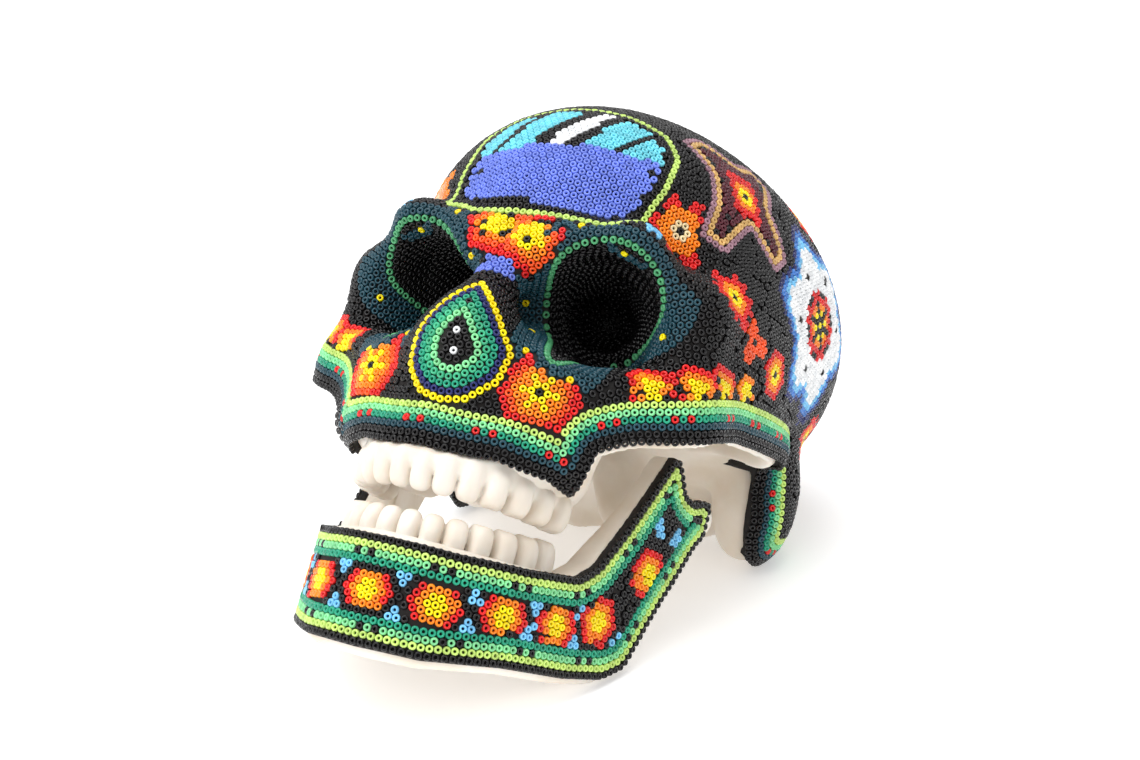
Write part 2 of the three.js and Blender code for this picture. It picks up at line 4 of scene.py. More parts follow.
import bpy
import numpy as np
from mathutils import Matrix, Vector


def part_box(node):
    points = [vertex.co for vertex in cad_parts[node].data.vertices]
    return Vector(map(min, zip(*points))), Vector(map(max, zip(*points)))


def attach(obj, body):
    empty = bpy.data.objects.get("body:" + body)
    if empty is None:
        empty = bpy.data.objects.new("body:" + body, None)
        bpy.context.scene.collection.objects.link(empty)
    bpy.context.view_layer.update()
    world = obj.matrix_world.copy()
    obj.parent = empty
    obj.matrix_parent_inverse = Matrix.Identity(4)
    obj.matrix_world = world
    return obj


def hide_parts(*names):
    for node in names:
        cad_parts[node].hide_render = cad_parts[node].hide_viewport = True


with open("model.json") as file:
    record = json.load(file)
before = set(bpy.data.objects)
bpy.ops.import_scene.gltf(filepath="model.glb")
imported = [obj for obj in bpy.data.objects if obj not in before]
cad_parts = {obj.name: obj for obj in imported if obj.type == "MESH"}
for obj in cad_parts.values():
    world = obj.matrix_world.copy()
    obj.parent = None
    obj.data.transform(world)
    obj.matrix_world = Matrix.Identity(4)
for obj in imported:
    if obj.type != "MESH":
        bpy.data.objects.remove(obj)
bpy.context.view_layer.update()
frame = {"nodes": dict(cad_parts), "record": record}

import openvdb
from mathutils import Vector, kdtree

MM = 0.001
SKULL_TILT = math.radians(33.3)
HINGE = np.array([0.0, -14.0, -23.0])  # where the CAD pins lie in the skull's frame
CENTRE = np.array([0.0, 2.0, 36.0])  # the whole outer form is seen from here

PITCH = 2.15  # from one bead to the next
ROW = 1.9  # from one row of beads to the next
CLEARANCE = 0.9  # closest that two beads are laid, in pitches
IN_ROWS = 0.78  # the same for beads laid in rows
SQUEEZED = 0.74  # and the closest where a last bead fills a gap
SETTLING = 16  # rounds of pushing apart
BEAD_DEPTH = 0.8  # bead centres lie this far below the finished surface
WAX_TOP = 1.0  # the beads stand half out of the wax
WAX_BOTTOM = 3.4
RESIN_TOP = 3.0
BEADS_PER_PIECE = 1300
CELL = PITCH * 1.35

rng = np.random.default_rng(7)


# ---- Frame ----
def skull_origin():
    low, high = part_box("left_jaw_pin")
    hinge = np.array([0.0, (low.y + high.y) / 2, (low.z + high.z) / 2]) / MM
    return hinge - leaned(HINGE)


def leaned(p):
    """The point with the head tipped back, as it lies on the surface."""
    cosine, sine = math.cos(SKULL_TILT), math.sin(SKULL_TILT)
    x, y, z = np.moveaxis(np.asarray(p, float), -1, 0)
    return np.stack([x, y * cosine + z * sine, z * cosine - y * sine], -1)


ORIGIN = skull_origin()


def to_row_frame(p):
    return (leaned(p) + ORIGIN) * MM


def unit(v):
    return v / np.maximum(np.linalg.norm(v, axis=-1, keepdims=True), 1e-9)


# ---- The form of the head, as a distance field ----
def soft_min(a, b, blend):
    near = np.maximum(blend - np.abs(a - b), 0)
    return np.minimum(a, b) - near ** 2 / (4 * blend)


def soft_max(a, b, blend):
    return -soft_min(-a, -b, blend)


def ellipsoid(p, centre, radii):
    q = p - np.array(centre, float)
    radii = np.array(radii, float)
    scaled = np.linalg.norm(q / radii, axis=-1)
    slope = np.linalg.norm(q / radii ** 2, axis=-1)
    return scaled * (scaled - 1) / np.maximum(slope, 1e-9)


def block(p, centre, half_sizes):
    return (np.abs(p - np.array(centre, float)) - np.array(half_sizes, float)).max(-1)


def bar(p, start, end, radius_start, radius_end):
    start = np.array(start, float)
    line = np.array(end, float) - start
    along = np.clip((p - start) @ line / (line @ line), 0, 1)
    offset = p - start - along[..., None] * line
    return np.linalg.norm(offset, axis=-1) - (radius_start + (radius_end - radius_start) * along)


def mirrored(p):
    return np.concatenate([np.abs(p[..., :1]), p[..., 1:]], -1)


def hung(p, height, drop):
    """The point as seen by a shape that also hangs straight down, by the drop, from the height."""
    risen = p[..., 2] + np.clip(height - p[..., 2], 0, drop)
    return np.concatenate([p[..., :2], risen[..., None]], -1)


def closed_head(point):
    """The finished beaded surface without its orbits."""
    p = mirrored(point)
    d = ellipsoid(p, (0, -18, 44), (55, 60, 48))
    d = soft_min(d, ellipsoid(p, (0, 22, 38), (62, 56, 54)), 26)
    d = soft_min(d, bar(p, (6, -76, 29), (33, -72, 34), 8, 7), 10)  # brow
    d = soft_min(d, bar(p, (33, -72, 34), (49, -60, 22), 7, 5), 6)  # outer brow
    d = soft_min(d, bar(p, (49, -60, 22), (50, -59, -4), 5, 7), 6)  # side of the orbit
    d = soft_min(d, bar(hung(p, -3.5, 20), (50, -59, -4), (24, -80, -3), 8, 8), 8)  # below the orbit
    d = soft_min(d, ellipsoid(hung(p, -7, 8), (48, -55, -7), (12, 14, 10)), 8)  # cheekbone
    arch_height = np.interp(p[..., 1], (-52, -2), (-4, 2))
    arch_drop = np.interp(p[..., 1], (-52, -2), (5, 1))
    arch = bar(hung(p, arch_height, arch_drop), (53, -52, -4), (56, -2, 2), 6, 6)
    d = soft_min(d, arch, 10)  # cheek arch
    d = soft_min(d, ellipsoid(p, (46, -26, 18), (16, 38, 26)), 14)  # temple
    d = soft_min(d, ellipsoid(p, (0, -64, -16), (35, 32, 28)), 10)  # upper jaw
    d = soft_min(d, ellipsoid(p, (0, -66, -28), (33, 32.5, 16)), 6)  # above the teeth
    d = soft_min(d, bar(p, (0, -78, 24), (0, -88, 0), 6, 9), 6)  # bridge of the nose
    d = soft_min(d, ellipsoid(p, (0, -86, -6), (16, 13, 20)), 6)  # nose
    return soft_min(d, ellipsoid(hung(p, -6, 2.5), (46, 24, -6), (14, 16, 21)), 10)  # behind the ear


ORBIT_MOUTH = np.array([36.0, -96.0, 14.0])
ORBIT_DEPTH = np.array([14.0, -38.0, 23.0])
ORBIT_RADII = (20.0, 6.5)
ORBIT_ROUNDING = 6


def orbit_hollow(point):
    return bar(mirrored(point), ORBIT_MOUTH, ORBIT_DEPTH, *ORBIT_RADII)


def head_form(point):
    return soft_max(closed_head(point), -orbit_hollow(point), ORBIT_ROUNDING)


def slope_of(form, p, step=0.6):
    offsets = np.eye(3) * step
    return np.stack([(form(p + o) - form(p - o)) / (2 * step) for o in offsets], -1)


def onto_head(points):
    """Bead centres and outward directions for points near the head's surface."""
    p = np.array(points, float)
    for _ in range(4):
        slope = slope_of(head_form, p)
        size = np.maximum((slope ** 2).sum(-1), 0.05)
        p -= ((head_form(p) + BEAD_DEPTH) / size)[..., None] * slope
    return p, unit(slope_of(head_form, p))


def direction_of(azimuth, polar):
    """Azimuth is 0 at the face and grows to the skull's left; polar is 0 at the crown. Radians."""
    flat = np.sin(polar)
    return np.stack([flat * np.sin(azimuth), -flat * np.cos(azimuth), np.cos(polar)], -1)


BEYOND = 110.0  # no part of the head is further from its centre than this


def surface_along(directions, from_outside=False):
    """Where rays from the centre leave the head: for the first time, or for the last."""
    inside = np.full(directions.shape[:-1], 18.0)
    outside = inside.copy()
    if from_outside:
        outside += BEYOND
        inside = outside.copy()
    for _ in range(int(BEYOND)):
        here = inside if from_outside else outside
        within = closed_head(CENTRE + here[..., None] * directions) < 0
        if from_outside:
            outside = np.where(within, outside, inside)
            inside = np.where(within, inside, inside - 1.5)
        else:
            inside = np.where(within, outside, inside)
            outside = np.where(within, outside + 1.5, outside)
    for _ in range(18):
        middle = (inside + outside) / 2
        within = closed_head(CENTRE + middle[..., None] * directions) < 0
        inside = np.where(within, middle, inside)
        outside = np.where(within, outside, middle)
    return CENTRE + outside[..., None] * directions


# ---- The lower edge of the beadwork: polar angle at each azimuth from the face, in degrees ----
EDGE_LINE = [
    (0, 124), (12, 125), (20, 127.5), (24.5, 131.3), (26.5, 123), (33, 120.7), (41, 118.8), (47, 118),
    (60, 119.6), (72, 120.3), (86, 120.6), (93, 123.5), (97.5, 131.5), (102, 138), (108, 140), (113, 139),
    (120, 136), (131, 131), (150, 127), (180, 116.5),
]
EDGE_STEPS = 720
EAR_FACE = 49.5  # behind the ear, only the outer face is beaded
edge_azimuths = np.linspace(-math.pi, math.pi, EDGE_STEPS, endpoint=False)


def edge_at(azimuth):
    angles, polars = zip(*EDGE_LINE)
    return np.radians(np.interp(np.degrees(np.abs(azimuth)), angles, polars))


def angles_of(p):
    q = p - CENTRE
    reach = np.linalg.norm(q, axis=-1)
    polar = np.arccos(np.clip(q[..., 2] / np.maximum(reach, 1e-9), -1, 1))
    return np.arctan2(q[..., 0], -q[..., 1]), polar, reach


def above_edge(p):
    """Millimetres above the edge of the beadwork, roughly: negative on the bare resin."""
    azimuth, polar, reach = angles_of(p)
    above = (edge_at(azimuth) - polar) * reach
    x, y, z = np.abs(p[..., 0]), p[..., 1], p[..., 2]
    outer_face = x - EAR_FACE + 0.9 * np.maximum(y - 17, 0)
    return np.minimum(above, np.maximum(np.maximum(outer_face, y - 34), np.maximum(z + 2, -5 - y)))


# ---- Laying beads ----
class Beadwork:
    """Bead centres on one surface, kept by cell so that no two are laid too close together."""

    def __init__(self, onto):
        self.onto = onto
        self.points = []
        self.normals = []
        self.rules = []
        self.panels = []
        self.held = []
        self.cells = {}
        self.clearance = CLEARANCE

    def cell(self, p):
        return tuple(int(v // CELL) for v in p)

    def near(self, p, reach):
        x, y, z = self.cell(p)
        found = []
        for i in (x - 1, x, x + 1):
            for j in (y - 1, y, y + 1):
                for k in (z - 1, z, z + 1):
                    for other in self.cells.get((i, j, k), ()):
                        if math.dist(self.points[other], p) < reach:
                            found.append(other)
        return found

    def lay(self, p, normal, rule, panel, held=False):
        """Lay one bead if there is room, and return its number or None. A rule is a colour or gives one."""
        p = tuple(float(v) for v in p)
        if self.near(p, self.clearance * PITCH):
            return None
        number = len(self.points)
        self.points.append(p)
        self.normals.append(tuple(float(v) for v in normal))
        self.rules.append(rule)
        self.panels.append(panel)
        self.held.append(held)
        self.cells.setdefault(self.cell(p), []).append(number)
        return number

    def places_ahead(self, front):
        """Places that touch two beads at once, next to the beads of the front."""
        pairs = set()
        for one in front:
            for other in self.near(self.points[one], CELL):
                if other != one:
                    pairs.add((min(one, other), max(one, other)))
        if not pairs:
            return np.zeros((0, 3)), np.zeros((0, 3))
        pairs = np.array(sorted(pairs))
        points = np.array(self.points)
        normals = np.array(self.normals)
        line = points[pairs[:, 1]] - points[pairs[:, 0]]
        half = np.linalg.norm(line, axis=1) / 2
        side = unit(np.cross(normals[pairs[:, 0]] + normals[pairs[:, 1]], line))
        rise = np.sqrt(np.maximum(PITCH ** 2 - half ** 2, 0.2))[:, None]
        middle = (points[pairs[:, 0]] + points[pairs[:, 1]]) / 2
        return self.onto(np.concatenate([middle + side * rise, middle - side * rise]))

    def grow(self, front, inside, rule, panel):
        """Lay beads outwards from the front until there is no more room inside."""
        front = [number for number in front if number is not None]
        while front:
            points, normals = self.places_ahead(front)
            if not len(points):
                return
            allowed = inside(points)
            laid = [self.lay(p, n, rule, panel) for p, n in zip(points[allowed], normals[allowed])]
            front = [number for number in laid if number is not None]

    def fill(self, front, inside, rule, panel):
        """Fill the ground from the front, squeeze last beads into its gaps, and let all of them settle."""
        self.grow(front, inside, rule, panel)
        self.clearance = SQUEEZED
        self.grow(list(range(len(self.points))), inside, rule, panel)
        self.settle(SETTLING)

    def settle(self, rounds):
        """Let the loose beads push one another apart until they lie evenly."""
        points = np.array(self.points)
        loose = ~np.array(self.held)
        movers = np.flatnonzero(loose)
        for number in range(rounds):
            if number % 4 == 0:
                tree = tree_of(points)
                pairs = [
                    (i, j) for i in movers
                    for _, j, _ in tree.find_range(Vector(points[i]), CELL) if j != i
                ]
                one, other = np.array(pairs).T
            line = points[one] - points[other]
            gap = np.linalg.norm(line, axis=1, keepdims=True)
            push = np.zeros_like(points)
            np.add.at(push, one, line / np.maximum(gap, 0.1) * np.maximum(PITCH - gap, 0) * 0.4)
            points[movers] = self.onto(points[movers] + np.clip(push[movers], -0.4, 0.4))[0]
        _, normals = self.onto(points[movers])
        for number, p, normal in zip(movers, points[movers], normals):
            self.points[number] = tuple(p)
            self.normals[number] = tuple(normal)

    def colours(self):
        """Each bead's colour, black where its rule has none for its place."""
        found = []
        for rule, p in zip(self.rules, self.points):
            found.append(rule if isinstance(rule, str) else rule(p) or "black")
        return found


def evenly(curve, spacing):
    """The closed curve again, with points at an even spacing near the one asked for."""
    closed = np.vstack([curve, curve[:1]])
    lengths = np.r_[0, np.cumsum(np.linalg.norm(np.diff(closed, axis=0), axis=1))]
    count = max(int(round(lengths[-1] / spacing)), 3)
    places = np.arange(count) * lengths[-1] / count
    return np.stack([np.interp(places, lengths, closed[:, axis]) for axis in range(3)], -1)


def tree_of(points):
    tree = kdtree.KDTree(len(points))
    for number, p in enumerate(points):
        tree.insert(Vector(p), number)
    tree.balance()
    return tree


FINE = 0.6  # spacing of the points that rows are worked out with


def rows_beside(start, onto, count, inward=1, first=0.5):
    """Closed rows beside a closed curve, each one ROW further from it on the surface."""
    curve, normals = onto(evenly(start, FINE))
    tree = tree_of(curve)
    rows = []
    travelled = 0.0
    for number in range(count):
        target = (first + number) * ROW
        steps = max(int(math.ceil((target - travelled) / 0.65)), 1) if target > travelled else 0
        stride = (target - travelled) / max(steps, 1)
        for _ in range(steps):
            heading = unit(np.roll(curve, -2, 0) - np.roll(curve, 2, 0))
            curve, normals = onto(curve + np.cross(normals, heading) * stride * inward)
            travelled += stride
            clear = np.array([tree.find(Vector(p))[2] > travelled * 0.93 - 0.12 for p in curve])
            if clear.sum() < 8:
                return rows
            curve = evenly(curve[clear], FINE)
            curve = (np.roll(curve, 1, 0) + 2 * curve + np.roll(curve, -1, 0)) / 4
            curve, normals = onto(curve)
        if len(curve) * FINE < 5 * PITCH:
            return rows
        rows.append(curve)
    return rows


def lay_row(work, curve, colour_of, panel):
    """Lay a closed row of beads. colour_of takes a bead's place in the row and the row's count."""
    points, normals = work.onto(evenly(curve, PITCH))
    total = len(points)
    work.clearance = IN_ROWS
    laid = [work.lay(p, n, colour_of(i, total), panel, True) for i, (p, n) in enumerate(zip(points, normals))]
    work.clearance = CLEARANCE
    return laid


# ---- Colour rules ----
def plain(colour):
    return lambda place, total: colour


def dotted(colour, accent, every, spots=(0, 2)):
    return lambda place, total: accent if place % every in spots else colour


def spaced(colour, accent, count):
    def rule(place, total):
        every = max(total // count, 1)
        return accent if place % every == 0 and place // every < count else colour
    return rule


skull = Beadwork(onto_head)


def lay_edge_band():
    """Six rows above the edge, from the edge upwards."""
    start = surface_along(direction_of(edge_azimuths, edge_at(edge_azimuths)), from_outside=True)
    rules = [
        plain("black"), plain("black"), plain("slate"), dotted("teal", "red", 9),
        plain("light_green"), plain("yellow_green"),
    ]
    last = []
    for curve, rule in zip(rows_beside(start, onto_head, len(rules)), rules):
        last = lay_row(skull, curve, rule, "skull_edge_beads")
    return last


LIP_SMOOTHING = 40


def orbit_lip():
    """The left orbit's lip: where its hollow meets the closed head."""
    axis = unit(ORBIT_DEPTH - ORBIT_MOUTH)
    across = unit(np.cross(axis, (0, 0, 1)))
    upward = np.cross(across, axis)
    turns = np.linspace(0, 2 * math.pi, 180, endpoint=False)
    spokes = np.cos(turns)[:, None] * across + np.sin(turns)[:, None] * upward
    near = np.zeros(len(turns))
    far = np.ones(len(turns))

    def wall(share):
        radius = ORBIT_RADII[0] + (ORBIT_RADII[1] - ORBIT_RADII[0]) * share
        return ORBIT_MOUTH + share[:, None] * (ORBIT_DEPTH - ORBIT_MOUTH) + radius[:, None] * spokes

    for _ in range(20):
        middle = (near + far) / 2
        out = closed_head(wall(middle)) > 0
        near = np.where(out, middle, near)
        far = np.where(out, far, middle)
    return wall(near)


def smooth_lip():
    lip = orbit_lip()
    for _ in range(LIP_SMOOTHING):
        lip = (np.roll(lip, 1, 0) + 2 * lip + np.roll(lip, -1, 0)) / 4
    return lip


def lay_orbit_lips():
    lip = smooth_lip()
    for side, sign in (("left", 1), ("right", -1)):
        lay_row(skull, lip * np.array([sign, 1, 1]), plain("lip_green"), f"{side}_orbit_rim_beads")


def lay_orbits():
    """Slate rows round the lips, and black rows down into the orbits."""
    lip = smooth_lip()
    centred = lip - lip.mean(0)
    first, normals = onto_head(lip)
    heading = np.roll(first, -2, 0) - np.roll(first, 2, 0)
    outward = 1 if (np.cross(normals, heading) * centred).sum() > 0 else -1
    rim = rows_beside(lip, onto_head, 5, outward, first=1.0)
    lining = rows_beside(lip, onto_head, 30, -outward, first=1.0)
    last = []
    for side, sign in (("left", 1), ("right", -1)):
        flip = np.array([sign, 1, 1])
        for number, curve in enumerate(rim):
            rule = spaced("slate", "yellow", 12) if number == 2 else plain("slate")
            last += lay_row(skull, curve * flip, rule, f"{side}_orbit_rim_beads")
        seeds = []
        for curve in lining:
            seeds = lay_row(skull, curve * flip, plain("black"), f"{side}_orbit_lining_beads")
        skull.grow(
            seeds,
            lambda p: (orbit_hollow(p) < 1) & (p[:, 0] * sign > 0) & (closed_head(p) < -8),
            "black",
            f"{side}_orbit_lining_beads",
        )
    return last


# ---- Motifs ----
def place_on(azimuth, polar):
    """Centre, and the directions across, up and outwards, of a motif seen along (azimuth, polar) degrees."""
    direction = direction_of(math.radians(azimuth), math.radians(polar))
    centre, outward = onto_head(surface_along(direction[None]))
    across = unit(np.cross((0.0, 0.0, 1.0), outward[0]))
    return centre[0], across, np.cross(outward[0], across), outward[0]


COS_30 = 0.866


def ring_distance(u, v):
    """Distance from a motif's centre in rings of beads, on a close-packed lattice."""
    return max(abs(u), abs(u / 2 + v * COS_30), abs(u / 2 - v * COS_30)) / PITCH


def flower(bands, points=6):
    """Rings of colour (name, reach in beads, waviness); None beyond the last."""
    def rule(u, v):
        distance = 0.5 * ring_distance(u, v) + 0.5 * math.hypot(u, v) / PITCH
        wave = math.cos(points * math.atan2(v, u))
        for colour, reach, waviness in bands:
            if distance < reach * (1 + waviness * wave):
                return colour
        return None
    return rule


CHEEK_FLOWER = flower([
    ("black", 0.5, 0), ("yellow", 1.9, 0.22), ("orange", 2.9, 0.05), ("orange_red", 3.7, 0),
    ("red", 4.9, 0.03),
])
STAR = flower([("black", 0.5, 0), ("cream", 1.5, 0), ("orange", 3.0, 0.16), ("red", 4.4, 0.28)])
FAR_STAR = flower([("red", 0.5, 0), ("cream", 1.6, 0), ("peach", 3.0, 0.1), ("orange", 4.4, 0.26)])
SMALL_YELLOW = flower([("red", 0.5, 0), ("yellow", 1.5, 0)])
SMALL_RED = flower([("black", 0.5, 0), ("yellow", 1.4, 0.1), ("orange", 2.4, 0.1), ("red", 3.5, 0.12)])
SMALL_ORANGE = flower([("black", 0.5, 0), ("orange_red", 2.2, 0.4)], 3)
BUTTERFLY = flower([("black", 0.5, 0), ("white", 2.0, 0.4), ("light_blue", 2.9, 0.45)], 4)
YELLOW_ORANGE = flower([("yellow", 1.4, 0.3), ("orange", 2.4, 0.3)])
BAND_FLOWER = flower([("yellow", 1.4, 0), ("orange", 2.2, 0), ("red", 3.1, 0.08)])
TRIAD = flower([("light_blue", 1.05, 0)])
BLUE_BLOB = flower([("light_blue", 1.8, 0.1)])
PERIWINKLE_PATCH = flower([("periwinkle", 2.1, 0.3)], 2)
RED_BLOB = flower([("red", 1.8, 0.1)])
ORANGE_BLOB = flower([("orange", 1.8, 0.1)])
NAPE_SUN = flower([("black", 0.5, 0), ("yellow", 2.5, 0.15), ("orange", 4.5, 0.12), ("orange_red", 6.4, 0.1),
                   ("red", 8.2, 0.1), ("black", 9.2, 0.1), ("turquoise", 10.6, 0.12)], 12)
CROWN_STAR = flower([("black", 0.5, 0), ("cream", 2.0, 0.1), ("light_green", 3.8, 0.2), ("teal", 6.0, 0.24),
                     ("slate", 7.6, 0.24), ("yellow_green", 8.8, 0.2)])


def half_flower(u, v):
    """A flower whose middle lies low, on the band."""
    return BAND_FLOWER(u, v + 1.6)


def side_flower(u, v):
    distance = math.hypot(u, v) / PITCH
    angle = math.atan2(v, u)
    wave = math.cos(6 * angle)
    if distance < 3.6:
        if abs(math.sin(3 * angle)) < 0.16 and distance > 0.6:
            return "black"
        return "yellow" if distance < 2.0 else "orange" if distance < 3.0 else "red"
    if distance < 4.6:
        return "red" if wave > 0 else "black"
    petal = distance / (1 + 0.12 * wave)
    if petal < 9.6:
        spot = abs(petal - 7.2) < 0.6 and abs(wave) < 0.3 and math.sin(6 * angle) > 0
        return "black" if spot else "white"
    return "light_blue" if petal < 10.6 else "blue" if petal < 11.6 else "navy" if petal < 12.5 else None


def brow_flower(u, v):
    lobe = min(math.hypot((u - 4.5) / 1.1, v), math.hypot((u + 5.5) / 1.1, v - 0.5)) / PITCH
    if lobe < 1.9:
        dash = abs(u + 2.5 - 0.5 * v) < 0.9 and v > -2
        dots = min(math.hypot(u - 6, v - 2.2), math.hypot(u - 5, v + 2.6)) < 0.9
        return "black" if dash or dots else "yellow"
    return "orange" if lobe < 2.5 else "orange_red" if lobe < 3.1 else "red" if lobe < 4.0 else None


def outline_distance(outline, u, v):
    """How far (u, v) lies inside a closed outline: negative outside."""
    inside = False
    nearest = 1e9
    for number, (au, av) in enumerate(outline):
        bu, bv = outline[(number + 1) % len(outline)]
        du, dv = bu - au, bv - av
        along = min(max(((u - au) * du + (v - av) * dv) / (du * du + dv * dv), 0), 1)
        nearest = min(nearest, math.hypot(u - au - along * du, v - av - along * dv))
        if (av > v) != (bv > v) and u < au + (v - av) / dv * du:
            inside = not inside
    return nearest if inside else -nearest


# Outlines of motifs, in millimetres across and up from their middles
LEAF = [
    (0, 22), (-6, 17), (-12, 9.5), (-17, 0), (-15.5, -11), (-8, -18), (0, -19.5), (8, -18), (15.5, -11),
    (17, 0), (12, 9.5), (6, 17),
]
HAND = [
    (-20, -19), (-31, -13), (-37, 0), (-37, 17), (-28, 29), (-10, 34), (12, 34), (29, 29), (37, 18), (37, 1),
    (31, -13), (20, -19),
]
DEER = [
    (-20, -20), (-10, -23), (1, -11), (13, -20), (20, -13), (13, 1), (19, 14), (13, 23), (2, 16), (-10, 23),
    (-20, 16), (-14, 3), (-15, -8),
]


def leaf_core(u, v):
    on_line = min(abs(v - 5), abs(v), abs(v + 5)) < PITCH / 2 and abs(u) < PITCH / 2
    return "white" if on_line else "black"


FINGER_WIDTH = 11.5
FINGER_LEAN = 0.45  # how far fingers go to the side as they rise
BETWEEN_FINGERS = 1.0  # half a gap
PALM_TOP = 5


def hand_core(u, v):
    """A palm, and five fingers that lean towards the skull's left as they rise."""
    if v < PALM_TOP + 0.12 * u:
        return "periwinkle"
    leaned_u = u + 3 - FINGER_LEAN * (v - PALM_TOP)
    finger = round(leaned_u / FINGER_WIDTH)
    off = abs(leaned_u - finger * FINGER_WIDTH)
    if off > FINGER_WIDTH / 2 - BETWEEN_FINGERS:
        return "black"
    if finger == 0:
        return "white" if off < 3.4 - 0.16 * abs(v - 14) else "black"
    return "turquoise"


def deer_core(u, v):
    if math.hypot(u, v) < 1.2:
        return "black"
    box = max(abs(u) / 5.6, abs(v) / 7.5)
    return "yellow" if box < 0.45 else "orange" if box < 0.72 else "red" if box < 1.0 else "maroon"


ORBIT_MARGIN = 4  # motifs keep this far from the orbits


class Place:
    """Where a motif lies, how far back it may reach, and how its rule reads on the head."""

    def __init__(self, azimuth, polar, depth=24):
        self.centre, self.across, self.up, self.outward = place_on(azimuth, polar)
        self.depth = depth

    def local(self, p):
        q = np.asarray(p) - self.centre
        return float(q @ self.across), float(q @ self.up)

    def on_this_side(self, p):
        return (np.asarray(p) - self.centre) @ self.outward > -self.depth

    def holds(self, points, wanted):
        """Which points lie on this side of the head, clear of its edge and orbits, where wanted says so."""
        chosen = [self.on_this_side(p) and wanted(*self.local(p)) for p in points]
        return np.array(chosen, bool) & (above_edge(points) > 0.5) & (orbit_hollow(points) > ORBIT_MARGIN)


def lay_from_middle(place, rule, wanted, panel):
    """Beads grown from a motif's middle on a close-packed lattice."""
    first, normals = skull.onto(np.array([place.centre, place.centre + place.across * PITCH]))
    numbers = [skull.lay(p, normal, rule, panel) for p, normal in zip(first, normals)]
    skull.grow(numbers, lambda points: place.holds(points, wanted), rule, panel)


def lay_centred(place, flat_rule, panel):
    def wanted(u, v):
        return flat_rule(u, v) is not None

    lay_from_middle(place, lambda p: flat_rule(*place.local(p)), wanted, panel)


def lay_outlined(place, outline, row_colours, core, panel):
    """A motif laid in rows along its outline, then filled from its middle."""
    curve = evenly(np.array([[u, v, 0.0] for u, v in outline]), FINE)
    on_head = place.centre + curve[:, :1] * place.across + curve[:, 1:2] * place.up
    for _ in range(3):
        on_head = skull.onto(on_head)[0]
    rows = rows_beside(on_head, skull.onto, len(row_colours), inward_turn(outline))
    for row, colour in zip(rows, row_colours):
        lay_row(skull, row, plain(colour), panel)
    depth = len(row_colours) * ROW + 0.6

    def wanted(u, v):
        return outline_distance(outline, u, v) > depth

    lay_from_middle(place, lambda p: core(*place.local(p)), wanted, panel)


def inward_turn(outline):
    """Which way rows_beside must go from an outline to move inwards."""
    area = sum(au * bv - bu * av for (au, av), (bu, bv) in zip(outline, outline[1:] + outline[:1]))
    return 1 if area > 0 else -1


def newly_laid(lay):
    """The numbers of the head's beads that a function lays."""
    first = len(skull.points)
    lay()
    return list(range(first, len(skull.points)))


LEAF_ROWS = ["yellow", "navy", "teal", "green", "light_green"]


def lay_motifs():
    lay_outlined(Place(1.5, 109.8), LEAF, LEAF_ROWS, leaf_core, "nose_leaf_beads")
    lay_outlined(Place(3, 74), HAND, ["yellow_green", "black"], hand_core, "forehead_hand_beads")
    lay_centred(Place(1, 92, 9), brow_flower, "brow_flower_beads")
    lay_centred(Place(180, 12), CROWN_STAR, "crown_star_beads")
    lay_centred(Place(180, 82), NAPE_SUN, "nape_sun_beads")
    for side, sign in (("left", 1), ("right", -1)):
        lay_centred(Place(15.5 * sign, 116.3), CHEEK_FLOWER, f"{side}_cheek_flower_beads")
        lay_centred(Place(91 * sign, 83), side_flower, f"{side}_side_flower_beads")
        deer = [(u * sign, v) for u, v in DEER]
        lay_outlined(Place(49 * sign, 63.5), deer, ["mauve", "gold"], deer_core, f"{side}_temple_deer_beads")
        lay_centred(Place(32 * sign, 82.5), STAR if sign > 0 else FAR_STAR, "skull_ground_beads")


def lay_small_motifs():
    for sign in (1, -1):
        for azimuth, polar, rule in small_motifs(sign):
            lay_centred(Place(azimuth * sign, polar), rule, "skull_ground_beads")


HALF_FLOWERS = (32.5, 40.5, 47, 80, 122, 148)  # azimuths of the flowers that stand on the edge band
BAND_ANGLE = 8.6  # from the edge to just above the band


def lay_half_flowers():
    for sign in (1, -1):
        for azimuth in HALF_FLOWERS:
            polar = math.degrees(edge_at(math.radians(azimuth))) - BAND_ANGLE
            lay_centred(Place(azimuth * sign, polar), half_flower, "skull_ground_beads")


def small_motifs(sign):
    """Motifs of the ground, each at (azimuth, polar): the face's, then rings of flowers on the back."""
    listed = [
        (17.5, 89, SMALL_YELLOW), (21.5, 88.5, TRIAD), (26.5, 87, TRIAD), (5, 102.5, BLUE_BLOB),
        (9, 108.5, BLUE_BLOB), (46, 93, SMALL_RED), (54, 100, SMALL_ORANGE), (45, 106, BUTTERFLY),
        (55, 110, YELLOW_ORANGE),
        (0.5, 121.5, ORANGE_BLOB), (6.5, 121, RED_BLOB), (66, 104, SMALL_RED), (118, 108, SMALL_RED),
        (140, 104, YELLOW_ORANGE), (162, 108, SMALL_RED), (125, 62, STAR), (152, 52, SMALL_RED),
        (128, 84, SMALL_YELLOW), (95, 48, SMALL_RED), (112, 32, STAR),
    ]
    if sign > 0:
        listed.append((0.5, 99, PERIWINKLE_PATCH))
    return listed


def bead_the_head():
    front = lay_edge_band()
    lay_orbit_lips()
    front += newly_laid(lay_half_flowers)
    front += newly_laid(lay_motifs)
    front += lay_orbits()
    front += newly_laid(lay_small_motifs)

    def on_ground(p):
        return (above_edge(p) > 1.0) & (orbit_hollow(p) > 0.5)

    skull.fill(front, on_ground, "black", "skull_ground_beads")


